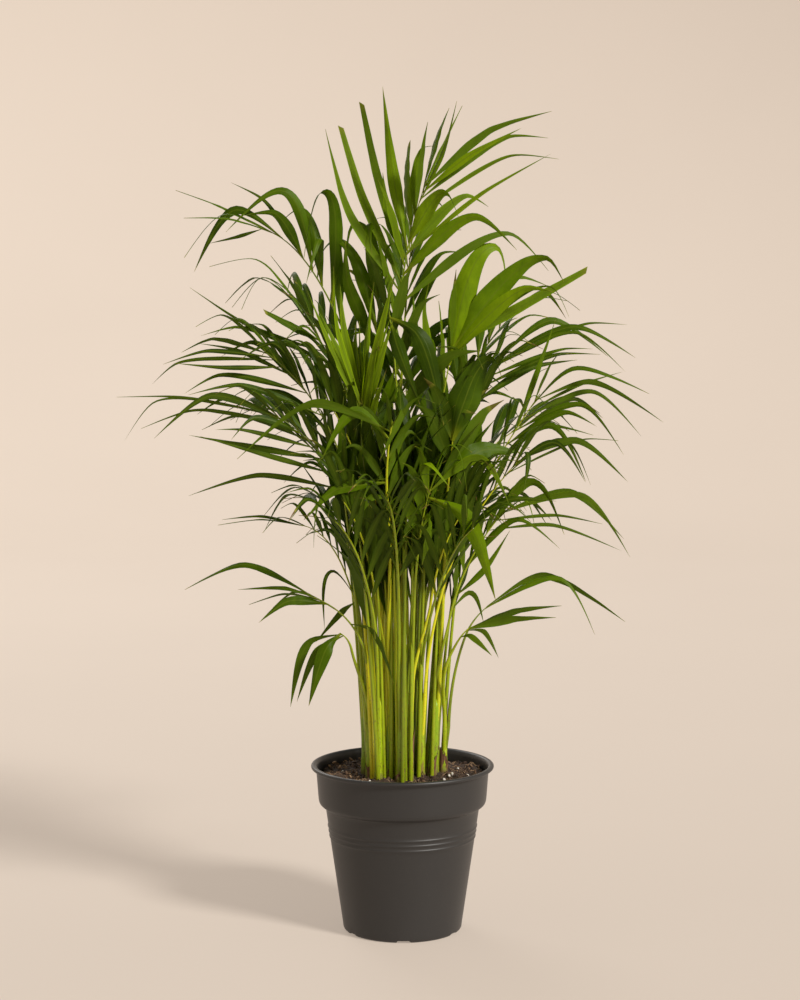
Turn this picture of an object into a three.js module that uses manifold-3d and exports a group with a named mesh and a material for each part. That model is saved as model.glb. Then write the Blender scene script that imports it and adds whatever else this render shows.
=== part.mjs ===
// Potted areca palm: a clump of leafy canes rooted in potting mix, in a round plastic nursery pot.
// Millimetres, +Z up. The origin is the centre of the pot's flat base, -Y is the front.
import * as THREE from "three";
import { mergeVertices } from "three/addons/utils/BufferGeometryUtils.js";
import Module from "manifold-3d";

const wasm = await Module();
wasm.setup();

// ---------------------------------------------------------------- driving dimensions
const POT = {
  height: 156,
  rimRadius: 85,
  lipHeight: 3.6,
  collarTopRadius: 80.6,
  collarFootRadius: 78,
  collarFoot: 122,
  bodyTopRadius: 72,
  bodyTop: 117,
  footRadius: 55.4,
  footRounding: 4,
  wall: 1.6,
  floor: 2,
  sides: 32,
};
const DRAIN = { count: 6, width: 11, height: 2.4, depth: 12, radius: 50 };
const SOIL = { level: 148, crown: 1.5, edgeDrop: 2, sides: 24 };
const GAP = 0.3;
const ROOTED_DEPTH = 14;
const CANE = { sides: 6, steps: 3, topShare: 0.82 };
const PETIOLE = { footRadius: 1.9, throatRadius: 1.5, endRadius: 0.8, sides: 4, steps: 6, ring: 2.5 };
const LEAF = { thickness: 0.7, fold: 0.09, clearance: 0.35 };

// Leaf points are drawn on a front elevation seen from one eye: x and z are where the line from the
// eye through the point meets the plane y = 0, and depth is the point's own y.
const EYE = { x: -2, z: 624, distance: 2200 };

const UP = new THREE.Vector3(0, 0, 1);
const RIGHT = new THREE.Vector3(1, 0, 0);

// ---------------------------------------------------------------- materials
const surface = (color, roughness) => new THREE.MeshStandardMaterial({ color, roughness, metalness: 0 });
const MATERIAL = {
  pot: surface(0x3f3b37, 0.5),
  soil: surface(0x4a3020, 0.95),
  cane: surface(0x93a61f, 0.45),
  frond: surface(0x3f6a12, 0.42),
};

// ---------------------------------------------------------------- solids
function toSolid(geometry) {
  geometry.deleteAttribute("normal");
  geometry.deleteAttribute("uv");
  const merged = mergeVertices(geometry, 1e-4);
  const vertProperties = merged.getAttribute("position").array;
  const triVerts = merged.index.array;
  return new wasm.Manifold(new wasm.Mesh({ numProp: 3, vertProperties, triVerts }));
}

function toMesh(solid, name, material) {
  const { vertProperties, triVerts } = solid.getMesh();
  const geometry = new THREE.BufferGeometry();
  geometry.setAttribute("position", new THREE.BufferAttribute(vertProperties, 3));
  geometry.setIndex(new THREE.BufferAttribute(triVerts, 1));
  geometry.computeVertexNormals();
  const mesh = new THREE.Mesh(geometry, material);
  mesh.name = name;
  return mesh;
}

// Extrudes a unit section and carries each of its rings to one frame of a curve.
function loft(section, frames) {
  const steps = frames.length - 1;
  const geometry = new THREE.ExtrudeGeometry(section, { depth: 1, steps, bevelEnabled: false });
  const position = geometry.getAttribute("position");
  for (let i = 0; i < position.count; i += 1) {
    const frame = frames[Math.round(position.getZ(i) * steps)];
    const point = frame.point.clone();
    point.addScaledVector(frame.across, position.getX(i) * frame.width);
    point.addScaledVector(frame.up, position.getY(i) * frame.height);
    position.setXYZ(i, point.x, point.y, point.z);
  }
  return toSolid(geometry);
}

function polygon(sides) {
  const shape = new THREE.Shape();
  for (let i = 0; i < sides; i += 1) {
    const angle = (i / sides) * Math.PI * 2;
    const x = Math.cos(angle);
    const y = Math.sin(angle);
    if (i === 0) shape.moveTo(x, y);
    else shape.lineTo(x, y);
  }
  shape.closePath();
  return shape;
}

// A leaflet is creased along its midrib, so its section is a low triangle.
const LEAF_SECTION = new THREE.Shape([
  new THREE.Vector2(-0.5, 0),
  new THREE.Vector2(0.5, 0),
  new THREE.Vector2(0, 1),
]);
const PETIOLE_SECTION = polygon(PETIOLE.sides);
const CANE_SECTION = polygon(CANE.sides);

// Turns a set of points and tangents into frames whose sideways direction stays as level as it can.
function framesAlong(points, tangents, firstAcross, widths, heights) {
  const across = firstAcross.clone();
  return points.map((point, i) => {
    const tangent = tangents[i];
    across.addScaledVector(tangent, -across.dot(tangent)).normalize();
    const up = new THREE.Vector3().crossVectors(tangent, across);
    return { point, across: across.clone(), up, width: widths[i], height: heights[i] };
  });
}

// ---------------------------------------------------------------- pot
function potSolid() {
  const { height, rimRadius, lipHeight, collarTopRadius, collarFootRadius, collarFoot } = POT;
  const { bodyTopRadius, bodyTop, footRadius, footRounding, wall, floor } = POT;
  const outline = [
    [0, 0],
    [footRadius - footRounding, 0],
    [footRadius - 1.2, 1.2],
    [footRadius, footRounding],
    [bodyTopRadius, bodyTop],
    [collarFootRadius - 1, collarFoot - 2.5],
    [collarFootRadius, collarFoot],
    [collarTopRadius, height - lipHeight - 1],
    [rimRadius - 0.8, height - lipHeight],
    [rimRadius, height - lipHeight / 2],
    [rimRadius - 0.8, height],
    [rimRadius - 4.4, height - 0.4],
    [collarTopRadius - wall, height - lipHeight],
    [collarFootRadius - wall, collarFoot],
    [bodyTopRadius - wall, bodyTop],
    [footRadius - wall, footRounding],
    [footRadius - wall - 2, floor],
    [0, floor],
  ];
  const profile = outline.map(([r, z]) => new THREE.Vector2(r, z));
  const turned = new THREE.LatheGeometry(profile, POT.sides);
  turned.rotateX(Math.PI / 2);
  let pot = toSolid(turned);
  if (pot.volume() < 0) throw new Error("the pot's outline runs the wrong way round");
  for (let i = 0; i < DRAIN.count; i += 1) {
    const slot = new THREE.BoxGeometry(DRAIN.depth, DRAIN.width, DRAIN.height * 2);
    slot.translate(DRAIN.radius + DRAIN.depth / 2, 0, 0);
    slot.rotateZ((i / DRAIN.count) * Math.PI * 2 - Math.PI / 2 + 0.02);
    pot = pot.subtract(toSolid(slot));
  }
  return pot;
}

// ---------------------------------------------------------------- canes
const canes = [];

// A sheathed cane: where it leaves the soil, its radius there, and where its sheath ends.
function cane(x, y, radius, topX, topY, topZ) {
  canes.push({ foot: new THREE.Vector3(x, y, SOIL.level), radius, top: new THREE.Vector3(topX, topY, topZ) });
}

cane(-29, -22, 4.3, -31.5, -23, 205);
cane(-22, -33, 3.6, -21, -35, 222);
cane(-12.5, -27, 3.4, -12.5, -29, 215);
cane(-2, -39, 3.5, -1, -41, 240);
cane(6, -30, 3.9, 7.5, -31, 232);
cane(16.5, -18, 3.5, 18, -19, 222);
cane(28, -9, 4.5, 31, -10, 216);
cane(-34, -4, 4.0, -36, -4, 228);
cane(-17, -8, 3.9, -17.5, -8, 246);
cane(2, -12, 3.9, 2, -12, 256);
cane(-25, 14, 4.1, -27, 15, 242);
cane(-7, 8, 4.1, -7, 9, 262);
cane(12, 8, 4.1, 13, 9, 252);
cane(30, 13, 4.2, 33, 14, 236);
cane(-12, 29, 4.0, -13.5, 32, 238);
cane(12, 29, 4.0, 14, 32, 240);
cane(38, 2, 3.4, 40, 2, 190);

function caneSolid({ foot, radius, top }, margin) {
  const bottom = new THREE.Vector3(foot.x, foot.y, SOIL.level - ROOTED_DEPTH - margin);
  const line = top.clone().sub(foot);
  const stations = [0, 1 / 3, 2 / 3, 1];
  const points = [bottom, ...stations.slice(1).map((t) => foot.clone().addScaledVector(line, t))];
  const tangents = points.map(() => UP);
  const sizes = [0.96, 1, 0.9, CANE.topShare].map((share) => radius * share + margin);
  return loft(CANE_SECTION, framesAlong(points, tangents, RIGHT, sizes, sizes));
}

// ---------------------------------------------------------------- soil
function soilSolid() {
  const wallAt = (z) => {
    const share = (z - POT.footRounding) / (POT.bodyTop - POT.footRounding);
    return POT.footRadius + (POT.bodyTopRadius - POT.footRadius) * share - POT.wall;
  };
  const clear = 1.2;
  const outline = [
    [0, POT.floor + GAP],
    [wallAt(POT.footRounding) - 2 - clear, POT.floor + GAP],
    [wallAt(POT.bodyTop) - clear, POT.bodyTop],
    [POT.collarFootRadius - POT.wall - clear, POT.collarFoot + 1],
    [POT.collarTopRadius - POT.wall - clear, SOIL.level - SOIL.edgeDrop],
    [POT.collarTopRadius * 0.6, SOIL.level],
    [0, SOIL.level + SOIL.crown],
  ];
  const profile = outline.map(([r, z]) => new THREE.Vector2(r, z));
  const turned = new THREE.LatheGeometry(profile, SOIL.sides);
  turned.rotateX(Math.PI / 2);
  return canes.reduce((soil, one) => soil.subtract(caneSolid(one, GAP)), toSolid(turned));
}

// ---------------------------------------------------------------- fronds
const fronds = [];

// The point at this depth that lies on the eye's line through (x, z) of the front elevation.
function onSightLine(x, z, depth) {
  const share = 1 + depth / EYE.distance;
  return new THREE.Vector3(EYE.x + (x - EYE.x) * share, depth, EYE.z + (z - EYE.z) * share);
}

// A frond of one cane: [x, z, depth] of the throat where its leaflets begin, of the middle and of the
// end of its leafy part.
function frond(name, caneNumber, throat, middle, end) {
  fronds.push({ name, caneNumber, throat, middle, end, leaflets: [] });
}

// A leaflet drawn by hand: its place along the leafy part from 0 to 1, the depth of its tip beside the
// place where it starts, its width, its bend (x, z) and its tip (x, z).
function leaf(place, depth, width, bendX, bendZ, tipX, tipZ) {
  fronds.at(-1).leaflets.push({ place, depth, width, bend: [bendX, bendZ], tip: [tipX, tipZ] });
}

// Leaflets set out by rule, left and right in turn: how many, how long, how wide, and how far their
// tips droop as a share of their length.
function fill(count, length, width, droop) {
  fronds.at(-1).fill = { count, length, width, droop };
}

frond("frond_crown", 12, [-9, 505, 8], [1, 612, 6], [22, 694, 2]);
leaf(0.6, 20, 14, -9, 702, -18, 778);
leaf(0.52, -14, 10, -24, 702, -37, 763);
leaf(0.44, 14, 10, -37, 680, -56, 742);
leaf(0.4, -26, 10, -50, 668, -70, 740);
leaf(0.56, -30, 11, -13, 662, -18, 701);
leaf(0.7, 26, 13, 4, 700, 6, 727);
leaf(0.78, -22, 12, 17, 722, 28, 725);
leaf(0.92, 14, 9, 37, 726, 54, 761);
leaf(0.86, -18, 6, 38, 722, 49, 765);
leaf(0.96, 18, 10, 80, 739, 135, 756);
leaf(0.92, -22, 8, 62, 717, 108, 741);
leaf(0.88, 26, 8, 96, 733, 132, 732);
leaf(0.8, 8, 5, 98, 716, 142, 713);
leaf(0.58, -32, 5, 72, 682, 135, 718);
leaf(0.64, -36, 18, 38, 683, 51, 660);
leaf(0.58, 28, 13, 58, 680, 78, 670);
leaf(0.48, -34, 15, 66, 661, 104, 631);
leaf(0.34, 30, 11, 96, 646, 133, 612);
fill(4, 120, 12, 0.1);

frond("frond_right_high", 14, [28, 440, 12], [37, 496, 14], [46, 545, 14]);
leaf(0.8, 18, 26, 84, 634, 95, 593);
leaf(0.95, -14, 26, 130, 624, 147, 602);
leaf(1, 8, 11, 105, 578, 168, 613);
leaf(0.9, 30, 13, 104, 606, 133, 598);
leaf(0.9, -26, 16, 112, 596, 138, 593);
leaf(0.85, -34, 5, 134, 598, 152, 570);
leaf(0.4, -18, 11, 20, 576, 24, 601);
leaf(0.3, 16, 9, 11, 568, 10, 598);
fill(4, 120, 16, 0.2);

frond("frond_heart_right", 7, [41, 390, -28], [43, 428, -34], [46, 464, -40]);
leaf(0.9, -14, 31, 82, 532, 91, 514);
leaf(0.95, 8, 15, 50, 540, 30, 543);
leaf(0.5, 20, 20, 74, 448, 108, 446);
fill(4, 110, 18, 0.2);

frond("frond_heart", 10, [-2, 430, -23], [-5, 506, -28], [-12, 572, -29]);
leaf(0.98, -16, 19, 12, 556, 38, 470);
leaf(0.94, -34, 14, -4, 542, 16, 490);
leaf(1, 12, 9, -12, 592, -5, 612);
leaf(0.4, -24, 19, -12, 500, -8, 521);
leaf(0.8, 24, 15, 26, 545, 28, 515);
fill(5, 120, 16, 0.2);

frond("frond_heart_left", 11, [-22, 460, 14], [-24, 530, 16], [-20, 588, 16]);
leaf(0.9, -24, 17, -31, 655, -28, 626);
leaf(0.95, 10, 10, -42, 655, -51, 612);
leaf(0.7, 26, 16, -60, 640, -84, 610);
leaf(0.6, -30, 15, -50, 602, -52, 640);
fill(5, 120, 16, 0.25);

frond("frond_fan", 9, [-36, 448, -26], [-38, 472, -28], [-38, 494, -28]);
leaf(0.8, -10, 6, -62, 535, -87, 594);
leaf(0.75, 10, 7, -58, 538, -77, 576);
leaf(0.9, -18, 6, -60, 562, -63, 616);
leaf(0.95, 14, 8, -53, 556, -57, 600);
leaf(1, -8, 8, -34, 545, -28, 592);
leaf(1, 12, 8, -31, 558, -26, 602);
leaf(0.8, -24, 9, -23, 545, -8, 607);
leaf(0.9, 22, 9, -44, 528, -42, 566);

frond("frond_left_high", 11, [-40, 520, 26], [-82, 612, 32], [-128, 650, 38]);
leaf(0.95, 26, 6, -168, 671, -206, 685);
leaf(0.9, -30, 6, -158, 659, -199, 660);
leaf(0.8, 14, 12, -152, 667, -190, 611);
leaf(0.86, -14, 6, -163, 663, -199, 624);
leaf(0.5, -10, 15, -108, 684, -161, 647);
leaf(0.3, -30, 18, -71, 684, -90, 622);
leaf(0.62, 20, 6, -126, 676, -156, 692);
leaf(0.6, -24, 15, -116, 664, -144, 662);
leaf(0.4, 30, 16, -92, 668, -112, 655);
leaf(0.45, -40, 10, -75, 641, -88, 600);
leaf(1, 2, 5, -150, 643, -176, 637);
leaf(0.2, 34, 15, -60, 640, -62, 670);

frond("frond_left_upper", 8, [-38, 455, 4], [-58, 515, 4], [-84, 562, 4]);
leaf(1, 24, 8, -132, 622, -176, 616);
leaf(0.92, -14, 13, -98, 596, -120, 626);
leaf(0.96, 14, 13, -92, 583, -108, 592);
leaf(0.84, -26, 11, -102, 562, -126, 575);
leaf(0.72, 18, 6, -140, 562, -194, 597);
leaf(0.6, -18, 7, -150, 561, -184, 553);
leaf(0.68, -34, 9, -90, 562, -108, 549);
leaf(1, 8, 4, -128, 606, -147, 577);
fill(4, 100, 14, 0.2);

frond("frond_left_spray", 1, [-39, 385, -18], [-74, 480, -20], [-128, 540, -24]);
leaf(0.96, 16, 11, -174, 550, -202, 538);
leaf(0.92, -14, 8, -180, 539, -219, 527);
leaf(0.84, -26, 8, -164, 524, -209, 528);
leaf(0.9, 28, 7, -206, 528, -229, 509);
leaf(0.64, -10, 10, -168, 517, -200, 500);
leaf(0.76, 16, 9, -152, 540, -186, 546);
leaf(0.5, -22, 11, -150, 508, -196, 499);
leaf(0.64, 26, 14, -136, 547, -166, 534);
leaf(0.7, -34, 14, -118, 546, -150, 530);
leaf(0.4, 20, 14, -110, 500, -150, 505);
fill(5, 110, 14, 0.3);

frond("frond_left_low_spray", 2, [-35, 340, -42], [-62, 426, -52], [-118, 481, -61]);
leaf(1, -4, 6, -205, 497, -262, 497);
leaf(0.97, 12, 5, -226, 493, -255, 457);
leaf(0.92, -16, 13, -176, 498, -228, 459);
leaf(0.86, 14, 8, -190, 485, -240, 468);
leaf(0.74, 26, 13, -150, 480, -184, 467);
leaf(0.6, 4, 11, -148, 453, -196, 462);
leaf(0.5, -14, 9, -130, 445, -186, 461);
leaf(0.8, -30, 12, -136, 478, -157, 458);
leaf(0.4, 22, 10, -132, 425, -197, 406);
leaf(0.68, -24, 8, -148, 467, -172, 467);
fill(5, 106, 13, 0.32);

frond("frond_left_wiry", 8, [-42, 300, -8], [-64, 357, -10], [-94, 379, -12]);
leaf(1, 6, 6, -130, 387, -166, 384);
leaf(0.96, -10, 5, -130, 384, -170, 379);
leaf(0.12, -16, 6, -66, 336, -72, 282);
leaf(0.05, 14, 10, -54, 300, -80, 270);
fill(3, 60, 10, 0.3);

frond("frond_left_low", 1, [-35, 262, -30], [-52, 292, -34], [-82, 312, -38]);
leaf(1, 10, 12, -146, 342, -201, 319);
leaf(0.96, -10, 7, -108, 320, -152, 319);
leaf(0.9, 18, 7, -108, 315, -142, 305);
leaf(0.8, -18, 13, -106, 308, -133, 288);
leaf(0.65, 26, 8, -98, 317, -120, 302);
leaf(0.4, -24, 12, -29, 281, -8, 231);

frond("frond_left_droop", 1, [-47, 262, -34], [-51, 272, -36], [-57, 278, -38]);
leaf(0.9, 14, 11, -86, 270, -104, 209);
leaf(0.8, -2, 10, -78, 262, -98, 214);
leaf(1, -18, 18, -69, 266, -87, 210);

frond("frond_front_left", 3, [-13, 396, -58], [-14, 433, -65], [-11, 469, -70]);
leaf(0.85, -14, 16, -43, 483, -74, 440);
leaf(1, -26, 11, 0, 484, -21, 439);
leaf(0.3, -8, 14, -62, 411, -90, 384);
leaf(0.1, -24, 13, -29, 404, -47, 372);
leaf(0.95, -38, 12, -82, 491, -152, 440);
leaf(0.35, 10, 5, -74, 405, -82, 358);
leaf(0.2, -36, 11, -2, 378, 19, 334);
fill(4, 90, 14, 0.35);

frond("frond_front_right", 5, [14, 350, -58], [19, 383, -64], [26, 413, -70]);
leaf(0.53, -16, 17, 25, 387, 18, 342);
leaf(0.85, -22, 19, 56, 389, 86, 309);
leaf(1, -4, 8, 45, 453, 59, 410);
leaf(0.95, 14, 12, 71, 440, 99, 396);
leaf(0.9, -30, 12, 22, 436, 44, 413);
fill(4, 90, 14, 0.35);

frond("frond_right_mid", 7, [43, 290, -16], [62, 345, -20], [94, 392, -24]);
leaf(1, 12, 12, 155, 409, 204, 366);
leaf(0.98, -6, 10, 166, 406, 210, 349);
leaf(0.8, -14, 16, 120, 419, 149, 370);
leaf(0.45, -24, 12, 106, 384, 145, 357);
leaf(0.9, 22, 6, 142, 388, 184, 380);
leaf(0.8, 10, 6, 138, 379, 202, 355);
leaf(0.9, -28, 6, 113, 402, 122, 377);
leaf(0.2, -14, 10, 76, 338, 99, 374);
leaf(0.08, 10, 9, 63, 316, 75, 288);
fill(4, 90, 12, 0.3);

frond("frond_right_arch", 13, [50, 430, 26], [63, 486, 30], [88, 532, 34]);
leaf(1, 14, 12, 136, 567, 188, 534);
leaf(0.95, -16, 13, 158, 561, 213, 533);
leaf(0.9, 28, 7, 168, 564, 205, 563);
leaf(0.9, -32, 7, 158, 556, 204, 520);
leaf(0.8, 10, 7, 148, 541, 174, 541);
leaf(0.7, -14, 8, 142, 536, 181, 536);
leaf(0.55, 24, 12, 118, 524, 160, 531);
fill(3, 90, 13, 0.25);

frond("frond_right_spray", 14, [45, 345, 12], [78, 422, 10], [126, 500, 8]);
leaf(0.96, 12, 10, 172, 511, 239, 474);
leaf(0.92, -14, 11, 156, 523, 226, 500);
leaf(0.84, 20, 9, 174, 502, 219, 461);
leaf(0.78, -22, 10, 164, 490, 203, 444);
leaf(0.9, 30, 6, 162, 508, 201, 520);
leaf(0.7, -32, 13, 150, 483, 178, 470);
leaf(0.6, -24, 13, 136, 471, 169, 418);
leaf(0.8, 2, 10, 124, 522, 140, 568);
leaf(0.5, 24, 12, 128, 470, 175, 462);
fill(4, 100, 13, 0.3);

frond("frond_right_dark", 6, [39, 325, -26], [64, 382, -32], [106, 438, -38]);
leaf(1, 12, 12, 160, 457, 207, 419);
leaf(0.94, -12, 11, 140, 455, 168, 419);
leaf(0.88, 22, 8, 148, 458, 173, 416);
leaf(0.9, 32, 6, 166, 458, 198, 457);
leaf(0.95, -24, 9, 114, 446, 111, 408);
leaf(0.4, -20, 13, 96, 402, 142, 401);
fill(4, 100, 14, 0.3);

frond("frond_right_low", 17, [44, 258, -24], [52, 272, -26], [62, 283, -28]);
leaf(1, 10, 12, 106, 299, 147, 304);
leaf(0.95, -10, 12, 100, 291, 142, 293);
leaf(0.6, -20, 8, 62, 276, 83, 257);
leaf(0.9, 26, 7, 75, 280, 89, 255);

frond("frond_right_low_arch", 17, [58, 275, 5], [66, 290, 6], [78, 303, 7]);
leaf(1, 8, 11, 128, 332, 206, 289);
leaf(0.9, -12, 9, 146, 329, 178, 277);

frond("frond_fore_left", 2, [-27, 296, -54], [-42, 350, -84], [-62, 382, -128]);
fill(8, 118, 14, 0.4);
frond("frond_fore_centre", 4, [-4, 316, -62], [-8, 374, -98], [-14, 402, -146]);
fill(8, 108, 14, 0.4);
frond("frond_fore_right", 6, [26, 296, -50], [43, 346, -82], [66, 376, -126]);
fill(8, 118, 14, 0.4);
frond("frond_inner_left", 9, [-28, 380, -12], [-44, 444, -20], [-68, 492, -30]);
fill(8, 140, 15, 0.3);
frond("frond_inner_right", 13, [30, 380, -4], [46, 442, -10], [70, 490, -18]);
fill(8, 140, 15, 0.3);
frond("frond_inner_low_left", 3, [-24, 310, -40], [-36, 362, -50], [-54, 400, -62]);
fill(8, 124, 14, 0.3);
frond("frond_inner_low_right", 5, [26, 308, -36], [38, 356, -46], [58, 394, -58]);
fill(8, 124, 14, 0.3);
frond("frond_back_left_high", 15, [-26, 420, 52], [-56, 520, 98], [-92, 578, 154]);
fill(9, 126, 14, 0.35);
frond("frond_back_high", 12, [-2, 470, 34], [2, 570, 62], [8, 640, 112]);
fill(9, 118, 14, 0.3);
frond("frond_back_right_high", 16, [24, 420, 52], [56, 510, 98], [96, 566, 152]);
fill(9, 126, 14, 0.35);
frond("frond_back_centre", 15, [1, 401, 57], [4, 481, 112], [3, 520, 182]);
fill(10, 116, 14, 0.4);
frond("frond_back_left", 15, [-30, 350, 50], [-66, 430, 88], [-120, 474, 130]);
fill(9, 116, 13, 0.35);
frond("frond_back_right", 16, [30, 350, 48], [64, 430, 84], [118, 474, 124]);
fill(9, 116, 13, 0.35);
frond("frond_back_low_left", 10, [-22, 318, 58], [-46, 376, 104], [-80, 398, 156]);
fill(7, 104, 12, 0.35);
frond("frond_back_low_right", 16, [24, 316, 60], [46, 374, 106], [82, 396, 158]);
fill(7, 104, 12, 0.35);

// ---------------------------------------------------------------- frond curves
const mix = (a, b, share) => a + (b - a) * share;

// Smooth curve of a leaflet from its base over its bend to its tip, at share u of its length.
function leafletPoint(base, bend, tip, u) {
  const first = bend.clone().sub(base);
  const second = tip.clone().sub(bend);
  const turn = first.clone().normalize().add(second.clone().normalize()).normalize();
  const split = first.length() / (first.length() + second.length());
  const rising = u <= split;
  const t = rising ? u / split : (u - split) / (1 - split);
  const from = rising ? base : bend;
  const to = rising ? bend : tip;
  const chord = rising ? first : second;
  const atBend = turn.multiplyScalar(chord.length());
  const atEnd = chord.clone().multiplyScalar(1.5).addScaledVector(atBend, -0.5);
  const leaving = rising ? atEnd : atBend;
  const arriving = rising ? atBend : atEnd;
  const point = from.clone().multiplyScalar(2 * t ** 3 - 3 * t ** 2 + 1);
  point.addScaledVector(leaving, t ** 3 - 2 * t ** 2 + t);
  point.addScaledVector(to, 3 * t ** 2 - 2 * t ** 3);
  return point.addScaledVector(arriving, t ** 3 - t ** 2);
}

// The stalk of a frond, moved aside by shift: its petiole leaves the cane upright and its leafy part
// carries on smoothly from the throat.
function stalkOf(one, seat, shift) {
  const { foot, top } = canes[one.caneNumber - 1];
  const angle = seat * ((Math.PI * 2) / 3) + one.caneNumber;
  const start = top.clone().add(new THREE.Vector3(Math.cos(angle), Math.sin(angle), 0).multiplyScalar(PETIOLE.ring));
  start.z += GAP;
  const [throat, middle, end] = [one.throat, one.middle, one.end].map((p) => onSightLine(...p).add(shift));
  const control = middle.clone().multiplyScalar(2).addScaledVector(throat, -0.5).addScaledVector(end, -0.5);
  const rise = throat.distanceTo(start) / 3;
  const lean = top.clone().sub(foot).normalize();
  const leaving = start.clone().addScaledVector(lean, rise);
  const arriving = throat.clone().addScaledVector(control.clone().sub(throat).normalize(), -rise);
  const petiole = new THREE.CubicBezierCurve3(start, leaving, arriving, throat);
  const rachis = new THREE.QuadraticBezierCurve3(throat, control, end);
  const outward = end.clone().sub(start).setZ(0).normalize();
  const level = new THREE.Vector3().crossVectors(outward, UP);
  return { petiole, rachis, level };
}

// The leafy part is built of straight stretches, and this is the point on them at place.
function onRachis(rachis, place) {
  const stretches = PETIOLE.steps / 2;
  const index = Math.min(stretches - 1, Math.floor(place * stretches));
  const before = rachis.getPoint(index / stretches);
  return before.lerp(rachis.getPoint((index + 1) / stretches), place * stretches - index);
}

function stalkSolid({ petiole, rachis, level }, margin) {
  const { footRadius, throatRadius, endRadius, steps } = PETIOLE;
  const points = [];
  const tangents = [];
  const sizes = [];
  for (let i = 0; i <= steps; i += 1) {
    const lower = i < steps / 2;
    const curve = lower ? petiole : rachis;
    const t = (i % (steps / 2)) / (steps / 2) + (i === steps ? 1 : 0);
    points.push(curve.getPoint(t));
    tangents.push(curve.getTangent(t));
    const size = lower ? mix(footRadius, throatRadius, t) : mix(throatRadius, endRadius, t);
    sizes.push(size + margin);
  }
  tangents[0].copy(UP);
  return loft(PETIOLE_SECTION, framesAlong(points, tangents, level, sizes, sizes));
}

// Leaflets of the rule for one stalk, as base, bend and tip.
function ruledLeaflets({ rachis, level }, { count, length, width, droop }) {
  return Array.from({ length: count }, (_, i) => {
    const place = 0.06 + (0.94 * (i + 0.5)) / count;
    const side = i % 2 ? 1 : -1;
    const base = onRachis(rachis, place);
    const tangent = rachis.getTangent(place);
    const across = level.clone().addScaledVector(tangent, -level.dot(tangent)).normalize();
    const above = new THREE.Vector3().crossVectors(across, tangent);
    const turn = mix(0.82, 0.32, place);
    const heading = tangent.clone().multiplyScalar(Math.cos(turn));
    heading.addScaledVector(across, side * Math.sin(turn) * 0.92);
    heading.addScaledVector(above, Math.sin(turn) * 0.35).normalize();
    const reach = length * (0.7 + 0.3 * Math.sin(Math.PI * (0.25 + 0.6 * place)));
    const bend = base.clone().addScaledVector(heading, reach * 0.58);
    const tip = base.clone().addScaledVector(heading, reach * 0.92);
    tip.z -= droop * reach;
    return { base, bend, tip, width: width * (1 - 0.25 * place), rib: tangent };
  });
}

// Leaflets drawn by hand for one stalk, as base, bend and tip.
function drawnLeaflets({ rachis }, leaflets) {
  return leaflets.map(({ place, depth, width, bend, tip }) => {
    const base = onRachis(rachis, place);
    return {
      base,
      bend: onSightLine(bend[0], bend[1], base.y + depth * 0.55),
      tip: onSightLine(tip[0], tip[1], base.y + depth),
      width,
      rib: rachis.getTangent(place),
    };
  });
}

const SHORT_LEAF = 105;

function leafletSolid({ base, bend, tip, width, rib }, margin) {
  const reach = base.distanceTo(bend) + bend.distanceTo(tip);
  const stations = reach > SHORT_LEAF ? [0, 0.3, 0.66, 1] : [0, 0.42, 1];
  const shares = reach > SHORT_LEAF ? [0.1, 1, 0.72, 0.06] : [0.1, 1, 0.06];
  const points = stations.map((u) => leafletPoint(base, bend, tip, u));
  const tangents = stations.map((u) => {
    const ahead = leafletPoint(base, bend, tip, Math.min(1, u + 0.02));
    return ahead.sub(leafletPoint(base, bend, tip, Math.max(0, u - 0.02))).normalize();
  });
  const widths = shares.map((share) => width * share + margin * 2);
  const heights = shares.map((share) => LEAF.thickness + width * share * LEAF.fold + margin * 2);
  const across = rib.clone().addScaledVector(tangents[0], -rib.dot(tangents[0])).normalize();
  const frames = framesAlong(points, tangents, across, widths, heights);
  frames.forEach((frame) => frame.point.addScaledVector(frame.up, -margin));
  return loft(LEAF_SECTION, frames);
}

// ---------------------------------------------------------------- keeping pieces apart
const placed = [];

function place(owner, solid) {
  placed.push({ owner, solid, box: solid.boundingBox() });
}

function boxesMeet(a, b) {
  return [0, 1, 2].every((k) => a.min[k] <= b.max[k] && b.min[k] <= a.max[k]);
}

function isClear(owner, solid) {
  const box = solid.boundingBox();
  return placed.every((other) => {
    if (other.owner === owner || !boxesMeet(box, other.box)) return true;
    const shared = solid.intersect(other.solid);
    const free = shared.isEmpty();
    shared.delete();
    return free;
  });
}

// Small moves that are tried in turn until a piece touches no other frond or cane.
const STALK_MOVES = [[0, 0, 0]];
for (let ring = 1; ring <= 6; ring += 1) {
  for (let spoke = 0; spoke < 8; spoke += 1) {
    const angle = (spoke * Math.PI) / 4 + ring * 0.3;
    STALK_MOVES.push([Math.cos(angle) * ring * 2.5, Math.sin(angle) * ring * 2.5, 0]);
  }
}
const LEAF_MOVES = [];
for (const depth of [0, -6, 6, -12, 12, -20, 20, -30, 30]) {
  for (const rise of [0, 5, -5, 10]) {
    LEAF_MOVES.push({ depth, rise });
  }
}

canes.forEach((one, i) => place(`cane_${i}`, caneSolid(one, 0)));

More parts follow.
